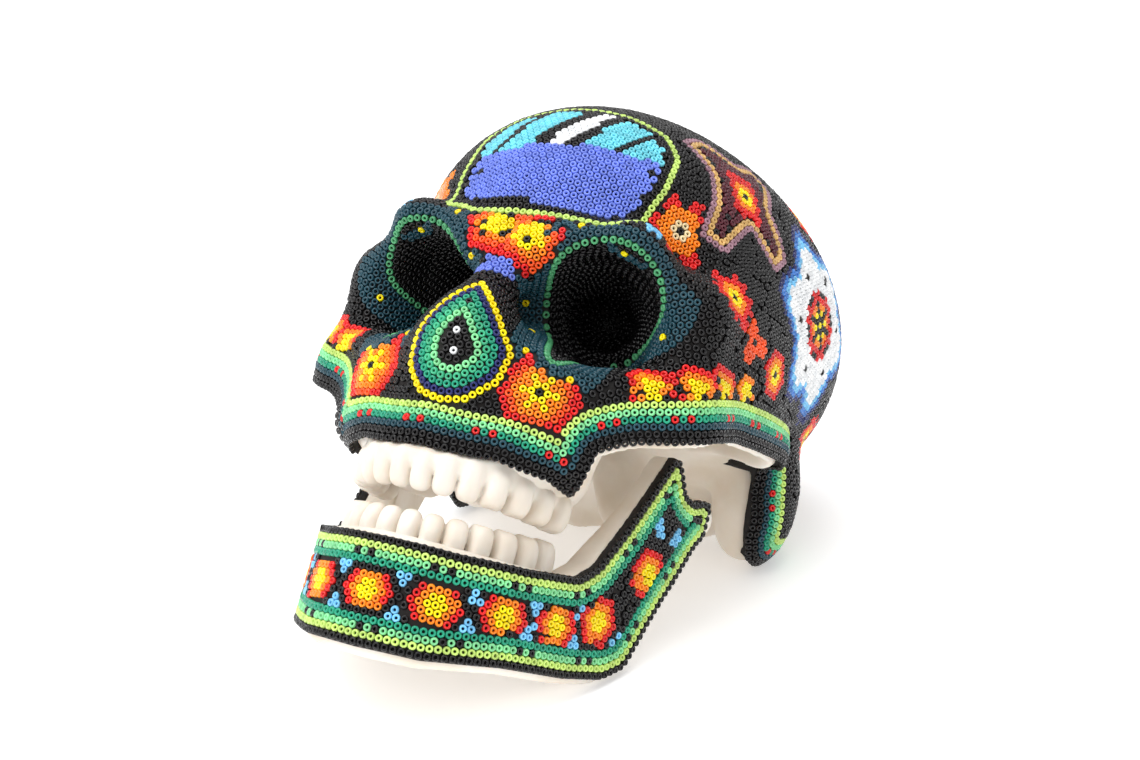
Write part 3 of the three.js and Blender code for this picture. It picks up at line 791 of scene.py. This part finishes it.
# ---- Jaw: its outline seen from above, then heights at each distance along its face from the chin ----
JAW_HALF = [(0, -102), (15, -98.5), (29, -85), (37, -66), (42, -50), (46, -36), (49, -20), (50, -9)]
JAW_TOP = [
    (0, -55.5), (20, -55.5), (40, -54), (58, -51.5), (64, -47), (72, -34), (84, -11.5),
    (87, -11.5), (93, -19.5), (98, -20.5), (103, -18.5), (109, -18.5), (114, -23),
]
JAW_BOTTOM = [
    (0, -85), (18, -84.5), (40, -81), (62, -79), (76, -76.5), (84, -72), (92, -55), (104, -34), (114, -24),
]
JAW_BEAD_MARGIN = 2
JAW_BEAD_REACH = 108


def smooth_curve(points, steps=24):
    """A centripetal Catmull-Rom curve through the points."""
    points = np.array(points, float)
    ends = [2 * points[0] - points[1], *points, 2 * points[-1] - points[-2]]
    curve = []
    for a, b, c, d in zip(ends, ends[1:], ends[2:], ends[3:]):
        knots = np.cumsum([0, *[math.sqrt(np.linalg.norm(q - p)) for p, q in ((a, b), (b, c), (c, d))]])
        for place in np.linspace(knots[1], knots[2], steps, endpoint=False):
            def mix(p, q, low, high):
                return ((high - place) * p + (place - low) * q) / (high - low)
            ab, bc, cd = mix(a, b, *knots[0:2]), mix(b, c, *knots[1:3]), mix(c, d, *knots[2:4])
            curve.append(mix(mix(ab, bc, knots[0], knots[2]), mix(bc, cd, knots[1], knots[3]), *knots[1:3]))
    curve.append(points[-1])
    return np.array(curve)


jaw_line = smooth_curve([(-x, y) for x, y in reversed(JAW_HALF[1:])] + JAW_HALF)
jaw_places = np.r_[0, np.cumsum(np.linalg.norm(np.diff(jaw_line, axis=0), axis=1))]
jaw_places -= jaw_places[-1] / 2


def height_from(line, distance):
    places, heights = zip(*line)
    return np.interp(np.abs(distance), places, heights)


def on_jaw_line(distance):
    return np.stack([np.interp(distance, jaw_places, jaw_line[:, axis]) for axis in (0, 1)], -1)


def on_jaw(distance, height, depth):
    """A point of the jaw: distance along its face from the chin, height, and depth below the surface."""
    heading = unit(on_jaw_line(distance + 1) - on_jaw_line(distance - 1))
    outward = np.stack([heading[..., 1], -heading[..., 0], np.zeros_like(distance)], -1)
    face = np.concatenate([on_jaw_line(distance), np.asarray(height)[..., None]], -1)
    return face - outward * depth, outward


def flat_sheet(points):
    p = np.array(points, float)
    p[..., 2] = 0
    return p, np.broadcast_to([0.0, 0.0, 1.0], p.shape).copy()


jaw = Beadwork(flat_sheet)
JAW_FLOWER = flower([("yellow", 1.5, 0), ("orange", 2.5, 0), ("red", 3.4, 0.06)])
JAW_FLOWERS = [(0, -69.3), (18.2, -69), (36.4, -67.2), (54, -65), (69, -60.5), (84.5, -44)]
RAMUS_CLUSTERS = [(84.6, -31.5), (93, -32)]


def jaw_bead_outline():
    places = np.linspace(-JAW_BEAD_REACH, JAW_BEAD_REACH, 200)
    bottom = np.stack([places, height_from(JAW_BOTTOM, places) + JAW_BEAD_MARGIN, places * 0], -1)
    top = np.stack([places, height_from(JAW_TOP, places), places * 0], -1)
    return np.vstack([bottom, top[::-1]])


def bead_the_jaw():
    outline = jaw_bead_outline()
    rules = [plain("black"), plain("yellow_green"), dotted("light_green", "black", 10), plain("teal")]
    for curve, rule in zip(rows_beside(outline, flat_sheet, len(rules)), rules):
        lay_row(jaw, curve, rule, "edge")
    for sign in (1, -1):
        for distance, height in JAW_FLOWERS if sign > 0 else JAW_FLOWERS[1:]:
            middle = np.array([distance * sign, height, 0.0])

            def rule(p, middle=middle):
                return JAW_FLOWER(*(np.asarray(p) - middle)[:2])

            def in_flower(points, rule=rule):
                return np.array([rule(p) is not None for p in points], bool)

            first = [jaw.lay(p, (0, 0, 1), rule, "field") for p in (middle, middle + (PITCH, 0, 0))]
            jaw.grow(first, in_flower, rule, "field")

    def inside(points):
        distance, height = points[:, 0], points[:, 1]
        low = height_from(JAW_BOTTOM, distance) + JAW_BEAD_MARGIN + 1
        high = height_from(JAW_TOP, distance) - 1
        return (height > low) & (height < high) & (np.abs(distance) < JAW_BEAD_REACH - 1)

    jaw.fill(list(range(len(jaw.points))), inside, jaw_ground, "field")


def jaw_ground(p):
    """Light-blue clusters between the flowers, at the top and bottom of the field, on black."""
    places = [distance for distance, _ in JAW_FLOWERS]
    between = [(a + b) / 2 for a, b in zip(places, places[1:])]
    along = min(abs(abs(p[0]) - place) for place in between)
    edge = min(p[1] - height_from(JAW_BOTTOM, p[0]) - JAW_BEAD_MARGIN, height_from(JAW_TOP, p[0]) - p[1])
    clustered = along < 1.7 and 7.4 < edge < 11.6 and abs(p[0]) < 80
    on_ramus = min(math.hypot(abs(p[0]) - distance, p[1] - height) for distance, height in RAMUS_CLUSTERS)
    return "light_blue" if clustered or on_ramus < 2.5 else "black"


# ---- Meshes ----
def mesh_object(name, vertices, faces_by_size, materials, face_materials=None):
    """A smooth-shaded object from vertices in the row frame and arrays of faces of one size each."""
    mesh = bpy.data.meshes.new(name)
    faces_by_size = [faces for faces in faces_by_size if len(faces)]
    loops = np.concatenate([faces.ravel() for faces in faces_by_size]).astype(np.int32)
    sizes = np.concatenate([np.full(len(faces), faces.shape[1]) for faces in faces_by_size]).astype(np.int32)
    mesh.vertices.add(len(vertices))
    mesh.vertices.foreach_set("co", np.ascontiguousarray(vertices, np.float32).ravel())
    mesh.loops.add(len(loops))
    mesh.loops.foreach_set("vertex_index", loops)
    mesh.polygons.add(len(sizes))
    mesh.polygons.foreach_set("loop_start", np.r_[0, np.cumsum(sizes)[:-1]].astype(np.int32))
    mesh.polygons.foreach_set("loop_total", sizes)
    for material in materials:
        mesh.materials.append(material)
    if face_materials is not None:
        mesh.polygons.foreach_set("material_index", face_materials.astype(np.int32))
    mesh.polygons.foreach_set("use_smooth", np.ones(len(sizes), bool))
    mesh.update(calc_edges=True)
    thing = bpy.data.objects.new(name, mesh)
    bpy.context.scene.collection.objects.link(thing)
    return thing


BEAD_AROUND = 12
BEAD_ACROSS = 6
BEAD_MIDDLE = 0.7  # radius to the middle of a bead's wall
BEAD_WALL = 0.37
BEAD_HALF_HEIGHT = 0.74


def bead_template():
    """A rounded glass bead around z, its hole along z."""
    around = np.arange(BEAD_AROUND) * 2 * math.pi / BEAD_AROUND
    across = np.arange(BEAD_ACROSS) * 2 * math.pi / BEAD_ACROSS
    a, b = np.meshgrid(around, across, indexing="ij")
    radius = BEAD_MIDDLE + BEAD_WALL * np.cos(b)
    points = np.stack([radius * np.cos(a), radius * np.sin(a), BEAD_HALF_HEIGHT * np.sin(b)], -1)
    i, j = np.meshgrid(np.arange(BEAD_AROUND), np.arange(BEAD_ACROSS), indexing="ij")
    row, next_row = i * BEAD_ACROSS, (i + 1) % BEAD_AROUND * BEAD_ACROSS
    next_j = (j + 1) % BEAD_ACROSS
    faces = np.stack([row + j, next_row + j, next_row + next_j, row + next_j], -1)
    return points.reshape(-1, 3), faces.reshape(-1, 4)


def bead_piece(name, points, normals, colours):
    """One object holding every bead of a piece, each slightly tipped and sized by chance."""
    template, faces = bead_template()
    count = len(points)
    axis = unit(normals + rng.normal(0, 0.07, (count, 3)))
    helper = np.where(np.abs(axis[:, 2:]) < 0.9, [[0.0, 0.0, 1.0]], [[1.0, 0.0, 0.0]])
    across = unit(np.cross(helper, axis))
    up = np.cross(axis, across)
    size = rng.normal(1.0, 0.025, count)[:, None, None]
    local = template[None] * size
    placed = points[:, None] + (local[..., :1] * across[:, None] + local[..., 1:2] * up[:, None]
                                + local[..., 2:] * axis[:, None])
    every_face = (faces[None] + (np.arange(count) * len(template))[:, None, None]).reshape(-1, 4)
    names = sorted(set(colours))
    materials = [bead_material(colour, shade) for colour in names for shade in range(BEAD_SHADES)]
    shade = rng.integers(0, BEAD_SHADES, count)
    slot = np.array([names.index(colour) for colour in colours]) * BEAD_SHADES + shade
    return mesh_object(name, to_row_frame(placed.reshape(-1, 3)), [every_face], materials,
                       np.repeat(slot, len(faces)))


def mesh_of_field(name, field, low, high, voxel, material, place=to_row_frame):
    """The surface where a distance field is zero, inside a box in the skull's frame."""
    axes = [np.arange(a, b, voxel) for a, b in zip(low, high)]
    values = np.empty([len(axis) for axis in axes], np.float32)
    for number, x in enumerate(axes[0]):
        y, z = np.meshgrid(axes[1], axes[2], indexing="ij")
        values[number] = field(np.stack([np.full_like(y, x), y, z], -1))
    values[[0, -1]] = 5
    values[:, [0, -1]] = 5
    values[:, :, [0, -1]] = 5
    grid = openvdb.FloatGrid(5.0)
    grid.copyFromArray(values)
    points, triangles, quads = grid.convertToPolygons(0.0, 0.0)
    points = np.asarray(points, float) * voxel + np.array([axis[0] for axis in axes])
    return mesh_object(name, place(points), outward_faces(points, triangles, quads), [material])


def outward_faces(points, triangles, quads):
    """The faces with their outsides out, judged by the sign of the volume they enclose."""
    volume = 0.0
    for faces in (triangles, quads):
        if len(faces):
            a, b, c = (points[faces[:, n]] for n in range(3))
            volume += np.einsum("ij,ij->i", a, np.cross(b, c)).sum()
            if faces.shape[1] == 4:
                volume += np.einsum("ij,ij->i", a, np.cross(c, points[faces[:, 3]])).sum()
    return [faces if volume > 0 else faces[:, ::-1] for faces in (triangles, quads)]


# ---- Materials ----
def linear(code):
    """A colour code in linear values, as shaders take them."""
    values = [int(code[place:place + 2], 16) / 255 for place in (0, 2, 4)]
    return [v / 12.92 if v <= 0.04045 else ((v + 0.055) / 1.055) ** 2.4 for v in values]


BEAD_COLOURS = {
    "black": "0d0b0d", "slate": "1f4653", "teal": "1f9a78", "green": "3fb183", "light_green": "86dc9a",
    "yellow_green": "c6e476", "lip_green": "4f9f6c", "yellow": "ffe400", "orange": "ff8a14",
    "orange_red": "f4561a", "red": "e01c1c", "light_blue": "79c6f2", "turquoise": "70d4e4", "blue": "3f7fd0",
    "periwinkle": "6f84e2", "navy": "232a66", "maroon": "571a28", "gold": "d8ae6a", "mauve": "a27a88",
    "cream": "f4dfae", "peach": "f4b080", "white": "f4f6f8",
}
BEAD_SHADES = 2
BEAD_MOTTLE = 260  # the colour drifts over about four millimetres
BEAD_IOR = 1.42
bead_materials = {}


def scaled(colour, strength):
    return [min(v * strength, 1.0) for v in colour]


def bead_material(colour, shade):
    """Opaque glass. The shades of a colour stand for beads of different batches."""
    if (colour, shade) not in bead_materials:
        base = linear(BEAD_COLOURS[colour])
        light, dark = [scaled(base, strength) for strength in ((0.98, 0.8), (1.14, 0.96))[shade]]
        name = f"bead_{colour}_{shade}"
        material = mottled(name, light, dark, BEAD_MOTTLE, (0.16, 0.24)[shade], 0.05, ior=BEAD_IOR)
        bead_materials[colour, shade] = material
    return bead_materials[colour, shade]


def mottled(name, light, dark, scale, roughness, bump, subsurface=0.0, metallic=0.0, ior=1.5):
    """A procedural material that drifts between two colours, with a fine bump."""
    material = bpy.data.materials.new(name)
    material.use_nodes = True
    nodes, links = material.node_tree.nodes, material.node_tree.links
    shader = nodes["Principled BSDF"]
    place = nodes.new("ShaderNodeTexCoord")
    noise = nodes.new("ShaderNodeTexNoise")
    noise.inputs["Scale"].default_value = scale
    noise.inputs["Detail"].default_value = 5
    ramp = nodes.new("ShaderNodeValToRGB")
    ramp.color_ramp.elements[0].position = 0.3
    ramp.color_ramp.elements[0].color = (*dark, 1)
    ramp.color_ramp.elements[1].position = 0.62
    ramp.color_ramp.elements[1].color = (*light, 1)
    grain = nodes.new("ShaderNodeTexNoise")
    grain.inputs["Scale"].default_value = scale * 12
    relief = nodes.new("ShaderNodeBump")
    relief.inputs["Strength"].default_value = bump
    relief.inputs["Distance"].default_value = 0.0003
    links.new(place.outputs["Object"], noise.inputs["Vector"])
    links.new(place.outputs["Object"], grain.inputs["Vector"])
    links.new(noise.outputs["Fac"], ramp.inputs["Fac"])
    links.new(ramp.outputs["Color"], shader.inputs["Base Color"])
    links.new(grain.outputs["Fac"], relief.inputs["Height"])
    links.new(relief.outputs["Normal"], shader.inputs["Normal"])
    shader.inputs["Roughness"].default_value = roughness
    shader.inputs["Metallic"].default_value = metallic
    shader.inputs["IOR"].default_value = ior
    if subsurface:
        shader.inputs["Subsurface Weight"].default_value = subsurface
        shader.inputs["Subsurface Radius"].default_value = (1.0, 0.6, 0.4)
        shader.inputs["Subsurface Scale"].default_value = 0.002
    return material


resin = mottled("bone_resin", linear("ebe3d8"), linear("dccfbd"), 60, 0.42, 0.15, subsurface=0.2)
# The wax is dark, and its colour is darkened further as painted shade for the gaps between the beads
wax = mottled("dark_wax_and_painted_shade", linear("140e0b"), linear("0c0807"), 90, 0.8, 0.3)
steel = mottled("drawn_steel", linear("c2c4c6"), linear("aeb1b4"), 200, 0.3, 0.1, metallic=1.0)


# ---- Resin and wax ----
UPPER_ARCH = (26, 34, -62)  # half width, reach forwards, where the arch ends
LOWER_ARCH = (25, 33, -62)
TEETH_PER_SIDE = 7
TOOTH_DEPTHS = (7.2, 7.4, 7.8, 8.2, 8.8, 9.4, 9.4)  # from the front tooth to the last
FRONT_TEETH = 3  # on each side, without cusps
FRONT_THINNING = 0.3  # share of its depth that a front tooth loses at its tip
BACK_THINNING = 0.06
TOOTH_BREADTH = 0.95  # at mid height, as a share of its place in the arch
TOOTH_FLARE = 0.07  # gained towards the tip and lost towards the root
TOOTH_ROUNDNESS = (2.8, 2.3, 3.4)  # powers: 2 is an ellipse, and more is squarer
CUSP_HEIGHT = 0.45


def arch_point(share, half_width, reach, back):
    angle = share * math.pi / 2
    return np.stack([half_width * np.sin(angle), back - reach * np.cos(angle)], -1)


def tooth(p, share, order, arch, tip, root):
    """One rounded crown: broad at its tip, slimmer at its root, and cusped towards the back."""
    here = arch_point(share, *arch)
    heading = unit(arch_point(share + 0.01, *arch) - here)
    half_step = 0.5 / TEETH_PER_SIDE
    width = np.linalg.norm(arch_point(share + half_step, *arch) - arch_point(share - half_step, *arch))
    depth = TOOTH_DEPTHS[order]
    q = p[..., :2] - here
    u = q @ heading
    v = q @ np.array([-heading[1], heading[0]])
    half = abs(tip - root) / 2
    w = (p[..., 2] - (tip + root) / 2) * (1 if tip > root else -1) / half
    broad = width / 2 * (TOOTH_BREADTH + TOOTH_FLARE * np.clip(w, -1, 1))
    thinning = FRONT_THINNING if order < FRONT_TEETH else BACK_THINNING
    deep = depth / 2 * (1 - thinning * np.clip(w, 0, 1))
    size = np.abs(np.stack([u / broad, v / deep, w], -1)) ** np.array(TOOTH_ROUNDNESS)
    crown = (size.sum(-1) ** (1 / TOOTH_ROUNDNESS[0]) - 1) * width / 2
    if order >= FRONT_TEETH:
        cusps = np.cos(2 * math.pi * u / width) * np.cos(2 * math.pi * v / depth)
        crown = crown + CUSP_HEIGHT * cusps * np.clip(w, 0, 1) ** 3
    return crown


def tooth_row(p, arch, front_tip, root, rise):
    d = np.full(p.shape[:-1], 1e3)
    for number in range(TEETH_PER_SIDE * 2):
        share = (number + 0.5) / TEETH_PER_SIDE - 1
        order = int(abs(number + 0.5 - TEETH_PER_SIDE))
        d = soft_min(d, tooth(p, share, order, arch, front_tip + rise * share ** 2, root), 0.25)
    return d


def tooth_bone(p, arch, thickness, bottom, top):
    """The curved ridge that a row of teeth stands in."""
    shares = np.linspace(-1, 1, 41)
    line = arch_point(shares, *arch)
    flat = np.full(p.shape[:-1], 1e3)
    for a, b in zip(line, line[1:]):
        edge = b - a
        along = np.clip(((p[..., :2] - a) @ edge) / (edge @ edge), 0, 1)
        flat = np.minimum(flat, np.linalg.norm(p[..., :2] - a - along[..., None] * edge, axis=-1))
    tall = np.abs(p[..., 2] - (bottom + top) / 2) - (top - bottom) / 2
    return soft_max(flat - thickness / 2, tall, 3)


FLOOR_GAP = 0.3  # the castings end this far above the surface


def floor_cut(p):
    return FLOOR_GAP - (leaned(p) + ORIGIN)[..., 2]


BARE_STRIP = 2.5  # resin that shows below the edge of the beadwork
HOLLOW_RADIUS = 12.5  # of the hollows inside the cheek arches


def skull_resin(p):
    side = mirrored(p)
    d = head_form(p) + RESIN_TOP
    d = soft_min(d, ellipsoid(p, (0, 46, -2), (36, 30, 30)), 6)  # base of the back of the head
    d = soft_min(d, bar(side, (14, -10, -6), (23, -13, -22), 9, 9), 4)  # holds the jaw pin
    for start, end in (((43, -47, -19), (45, -2, -18)), ((45, -2, -18), (40, 6, -40))):
        d = soft_max(d, -bar(side, start, end, HOLLOW_RADIUS, HOLLOW_RADIUS), 4)
    d = soft_max(d, -ellipsoid(p, (0, -66, -46), (20, 26, 15)), 3)  # roof of the mouth
    d = soft_max(d, -block(p, (0, -37, -44), (35, 17, 30)), 3)  # throat
    d = soft_max(d, -ellipsoid(p, (0, 20, -30), (15, 17, 16)), 2)  # hollow at the spine's opening
    under_cheek = np.minimum(side[..., 0] - 33, -4 - p[..., 1])
    d = soft_max(d, np.minimum(-(above_edge(p) + BARE_STRIP), under_cheek), 1)
    return soft_max(d, floor_cut(p), 1)


def upper_teeth(p):
    """The upper teeth and their gum, which stays below the edge of the beadwork."""
    half_width, reach, back = UPPER_ARCH
    gum = tooth_bone(p, (half_width - 1.2, reach - 1.2, back), 8, -37, -27)
    gum = soft_max(gum, np.minimum(above_edge(p) + 0.6, head_form(p) + RESIN_TOP), 0.6)
    return soft_min(gum, tooth_row(p, UPPER_ARCH, -42.3, -31.5, 0), 1.0)


WAX_OVERRUN = 0.2  # the wax runs this far past the edge of the beadwork


def wax_on_head(p):
    form = head_form(p)
    return np.maximum(np.maximum(form + WAX_TOP, -(form + WAX_BOTTOM)), -WAX_OVERRUN - above_edge(p))


def jaw_coordinates(x, y):
    """Distance along the jaw's face and depth below it, for points seen from above."""
    q = np.stack([x, y], -1)
    best = np.full(x.shape, 1e9)
    distance = np.zeros(x.shape)
    depth = np.zeros(x.shape)
    for number in range(len(jaw_line) - 1):
        a = jaw_line[number]
        edge = jaw_line[number + 1] - a
        length = np.linalg.norm(edge)
        along = np.clip(((q - a) @ edge) / length ** 2, 0, 1)
        offset = q - a - along[..., None] * edge
        far = np.linalg.norm(offset, axis=-1)
        closer = far < best
        inwards = offset @ np.array([-edge[1], edge[0]]) / length
        best = np.where(closer, far, best)
        distance = np.where(closer, jaw_places[number] + along * length, distance)
        depth = np.where(closer, np.sign(inwards) * far, depth)
    return distance, depth


jaw_maps = {}


def jaw_map(p):
    """The jaw's own coordinates, worked out once for each sheet of points with one x."""
    key = (float(p[0, 0, 0]), p.shape)
    if key not in jaw_maps:
        distance, depth = jaw_coordinates(p[:, :1, 0], p[:, :1, 1])
        jaw_maps[key] = (np.broadcast_to(distance, p.shape[:2]), np.broadcast_to(depth, p.shape[:2]))
    return jaw_maps[key]


def jaw_slab(p, outer, inner_extra, margin_low, margin_high, rounding):
    distance, depth = jaw_map(p)
    low = height_from(JAW_BOTTOM, distance) + margin_low
    high = height_from(JAW_TOP, distance) - margin_high
    tall = soft_max(low - p[..., 2], p[..., 2] - high, rounding)
    deep = soft_max(outer - depth, depth - outer - inner_extra(distance), rounding)
    ends = np.abs(distance) - 112.5
    return soft_max(soft_max(tall, deep, rounding), ends, rounding)


JAW_BODY = 11  # thickness of the part that holds the teeth
JAW_RAMUS = 7  # and of the part that rises to the hinge


def jaw_thickness(distance):
    share = np.clip((np.abs(distance) - 58) / 22, 0, 1)
    ramus = share * share * (3 - 2 * share)
    return JAW_BODY + (JAW_RAMUS - JAW_BODY) * ramus


def jaw_resin(p):
    d = jaw_slab(p, RESIN_TOP - 0.4, jaw_thickness, 0, 0, 3)
    d = soft_min(d, tooth_bone(p, LOWER_ARCH, 9, -66, -54), 3)
    d = soft_min(d, ellipsoid(mirrored(p), (42.5, HINGE[1], HINGE[2]), (6.5, 6, 5.5)), 3)
    return soft_max(d, floor_cut(p), 1)


def lower_teeth(p):
    return soft_min(tooth_bone(p, LOWER_ARCH, 7.6, -62, -54.5), tooth_row(p, LOWER_ARCH, -47, -57, 3.4), 0.8)


def wax_on_jaw(p):
    distance, _ = jaw_map(p)
    shell = jaw_slab(p, WAX_TOP, lambda d: WAX_BOTTOM - WAX_TOP, JAW_BEAD_MARGIN - WAX_OVERRUN, 0, 0.3)
    return np.maximum(shell, np.abs(distance) - JAW_BEAD_REACH)


# ---- Assembly ----
def own(piece, body, slot, *nodes):
    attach(piece, body)
    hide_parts(*nodes)


# Each piece's name, form, the corners of the box it lies in, voxel, slot, body and CAD node. The skull's resin
# and wax have coarser voxels, which keep them under the limit on a piece's faces.
FIELD_PIECES = [
    ("skull_resin", skull_resin, (-66, -110, -46), (66, 84, 96), 1.2, "resin", "skull", "skull_casting"),
    ("upper_teeth", upper_teeth, (-32, -103, -45), (32, -56, -24), 0.45, "resin", "skull", "skull_casting"),
    ("skull_wax", wax_on_head, (-66, -112, -46), (66, 84, 98), 1.4, "wax", "skull", "skull_wax_layer"),
    ("jaw_resin", jaw_resin, (-54, -106, -88), (54, -4, -6), 0.75, "resin", "jaw", "jaw_casting"),
    ("lower_teeth", lower_teeth, (-32, -102, -65), (32, -56, -40), 0.45, "resin", "jaw", "jaw_casting"),
    ("jaw_wax", wax_on_jaw, (-54, -106, -88), (54, -4, -6), 0.6, "wax", "jaw", "jaw_wax_layer"),
]


def add_resin_and_wax():
    for name, form, low, high, voxel, slot, body, node in FIELD_PIECES:
        jaw_maps.clear()
        material = resin if slot == "resin" else wax
        own(mesh_of_field(name, form, low, high, voxel, material), body, slot, node)


def add_bead_pieces(panels, body, slots):
    """Bead objects, at most BEADS_PER_PIECE to a piece, each standing for its CAD node."""
    for panel, (points, normals, colours) in sorted(panels.items()):
        order = np.argsort(np.arctan2(points[:, 0], -points[:, 1]), kind="stable")
        parts = max(math.ceil(len(order) / BEADS_PER_PIECE), 1)
        for number, chunk in enumerate(np.array_split(order, parts), 1):
            name = panel if parts == 1 else f"{panel}_{number}"
            piece = bead_piece(f"{name}_glass", points[chunk], normals[chunk], [colours[i] for i in chunk])
            own(piece, body, slots[panel], panel)


def slots_of_nodes():
    return {part["node"]: part["material_slot"] for part in frame["record"]["subparts"]}


def by_panel(names, points, normals, colours):
    """The beads of each panel: their points, directions and colours."""
    panels = {}
    for panel in sorted(set(names)):
        chosen = [i for i, name in enumerate(names) if name == panel]
        panels[panel] = (points[chosen], normals[chosen], [colours[i] for i in chosen])
    return panels


def skull_panels():
    return by_panel(skull.panels, np.array(skull.points), np.array(skull.normals), skull.colours())


def jaw_panels():
    """The flat beadwork wrapped on the jaw, split into its upper and lower borders and its field."""
    flat = np.array(jaw.points)
    points, normals = on_jaw(flat[:, 0], flat[:, 1], BEAD_DEPTH)
    middle = (height_from(JAW_TOP, flat[:, 0]) + height_from(JAW_BOTTOM, flat[:, 0])) / 2
    names = []
    for number, part in enumerate(jaw.panels):
        edge = "jaw_upper_edge_beads" if flat[number, 1] > middle[number] else "jaw_lower_edge_beads"
        names.append(edge if part == "edge" else "jaw_flower_beads")
    return by_panel(names, points, normals, jaw.colours())


def finish_pins():
    for side in ("left", "right"):
        pin = frame["nodes"][f"{side}_jaw_pin"]
        pin.data.materials.clear()
        pin.data.materials.append(steel)


# ---- Stage ----
VIEW_AZIMUTH = math.radians(27.3)
VIEW_ELEVATION = math.radians(17.7)
VIEW_DISTANCE = 0.505
VIEW_TARGET = Vector((-0.0062, 0.0149, 0.0553))
LENS = 52.85
FLOOR_REACH = 4.0  # metres from the middle to each side
FLOOR_GLOW = 0.3  # emission that lifts the pale floor
STUDIO_LIGHT = 0.75
LIGHTS_AIM = Vector((0, 0, 0.06))
# Each light's name, place in metres, width in metres and power in watts
LIGHTS = [("overhead", (-0.25, -0.2, 1.5), 1.4, 18), ("front", (-0.5, -1.3, 0.75), 0.7, 5)]


def add_camera():
    data = bpy.data.cameras.new("camera")
    data.sensor_width = 36
    data.sensor_fit = "HORIZONTAL"
    data.lens = LENS
    camera = bpy.data.objects.new("camera", data)
    back = Vector((
        math.sin(VIEW_AZIMUTH) * math.cos(VIEW_ELEVATION),
        -math.cos(VIEW_AZIMUTH) * math.cos(VIEW_ELEVATION),
        math.sin(VIEW_ELEVATION),
    ))
    camera.location = VIEW_TARGET + back * VIEW_DISTANCE
    camera.rotation_euler = back.to_track_quat("Z", "Y").to_euler()
    bpy.context.scene.collection.objects.link(camera)
    bpy.context.scene.camera = camera


def add_light(name, location, size, power):
    data = bpy.data.lights.new(name, "AREA")
    data.size = size
    data.energy = power
    lamp = bpy.data.objects.new(name, data)
    lamp.location = location
    lamp.rotation_euler = (Vector(location) - LIGHTS_AIM).to_track_quat("Z", "Y").to_euler()
    bpy.context.scene.collection.objects.link(lamp)


def add_stage():
    corners = np.array([[-1, -1, 0], [1, -1, 0], [1, 1, 0], [-1, 1, 0]]) * FLOOR_REACH
    paper = mottled("paper", linear("ffffff"), linear("fbfbfb"), 3, 0.8, 0.0)
    shader = paper.node_tree.nodes["Principled BSDF"]
    shader.inputs["Emission Color"].default_value = (1, 1, 1, 1)
    shader.inputs["Emission Strength"].default_value = FLOOR_GLOW
    floor = mesh_object("floor", corners, [np.array([[0, 1, 2, 3]])], [paper])
    for light in LIGHTS:
        add_light(*light)
    world = bpy.data.worlds.new("studio")
    world.use_nodes = True
    background = world.node_tree.nodes["Background"]
    background.inputs["Color"].default_value = (1, 1, 1, 1)
    background.inputs["Strength"].default_value = STUDIO_LIGHT
    bpy.context.scene.world = world
    bpy.context.scene.view_settings.view_transform = "Standard"


add_camera()
add_stage()
bead_the_head()
bead_the_jaw()
print("beads on the skull", len(skull.points), "and on the jaw", len(jaw.points))
finish_pins()
add_resin_and_wax()
node_slots = slots_of_nodes()
add_bead_pieces(skull_panels(), "skull", node_slots)
add_bead_pieces(jaw_panels(), "jaw", node_slots)
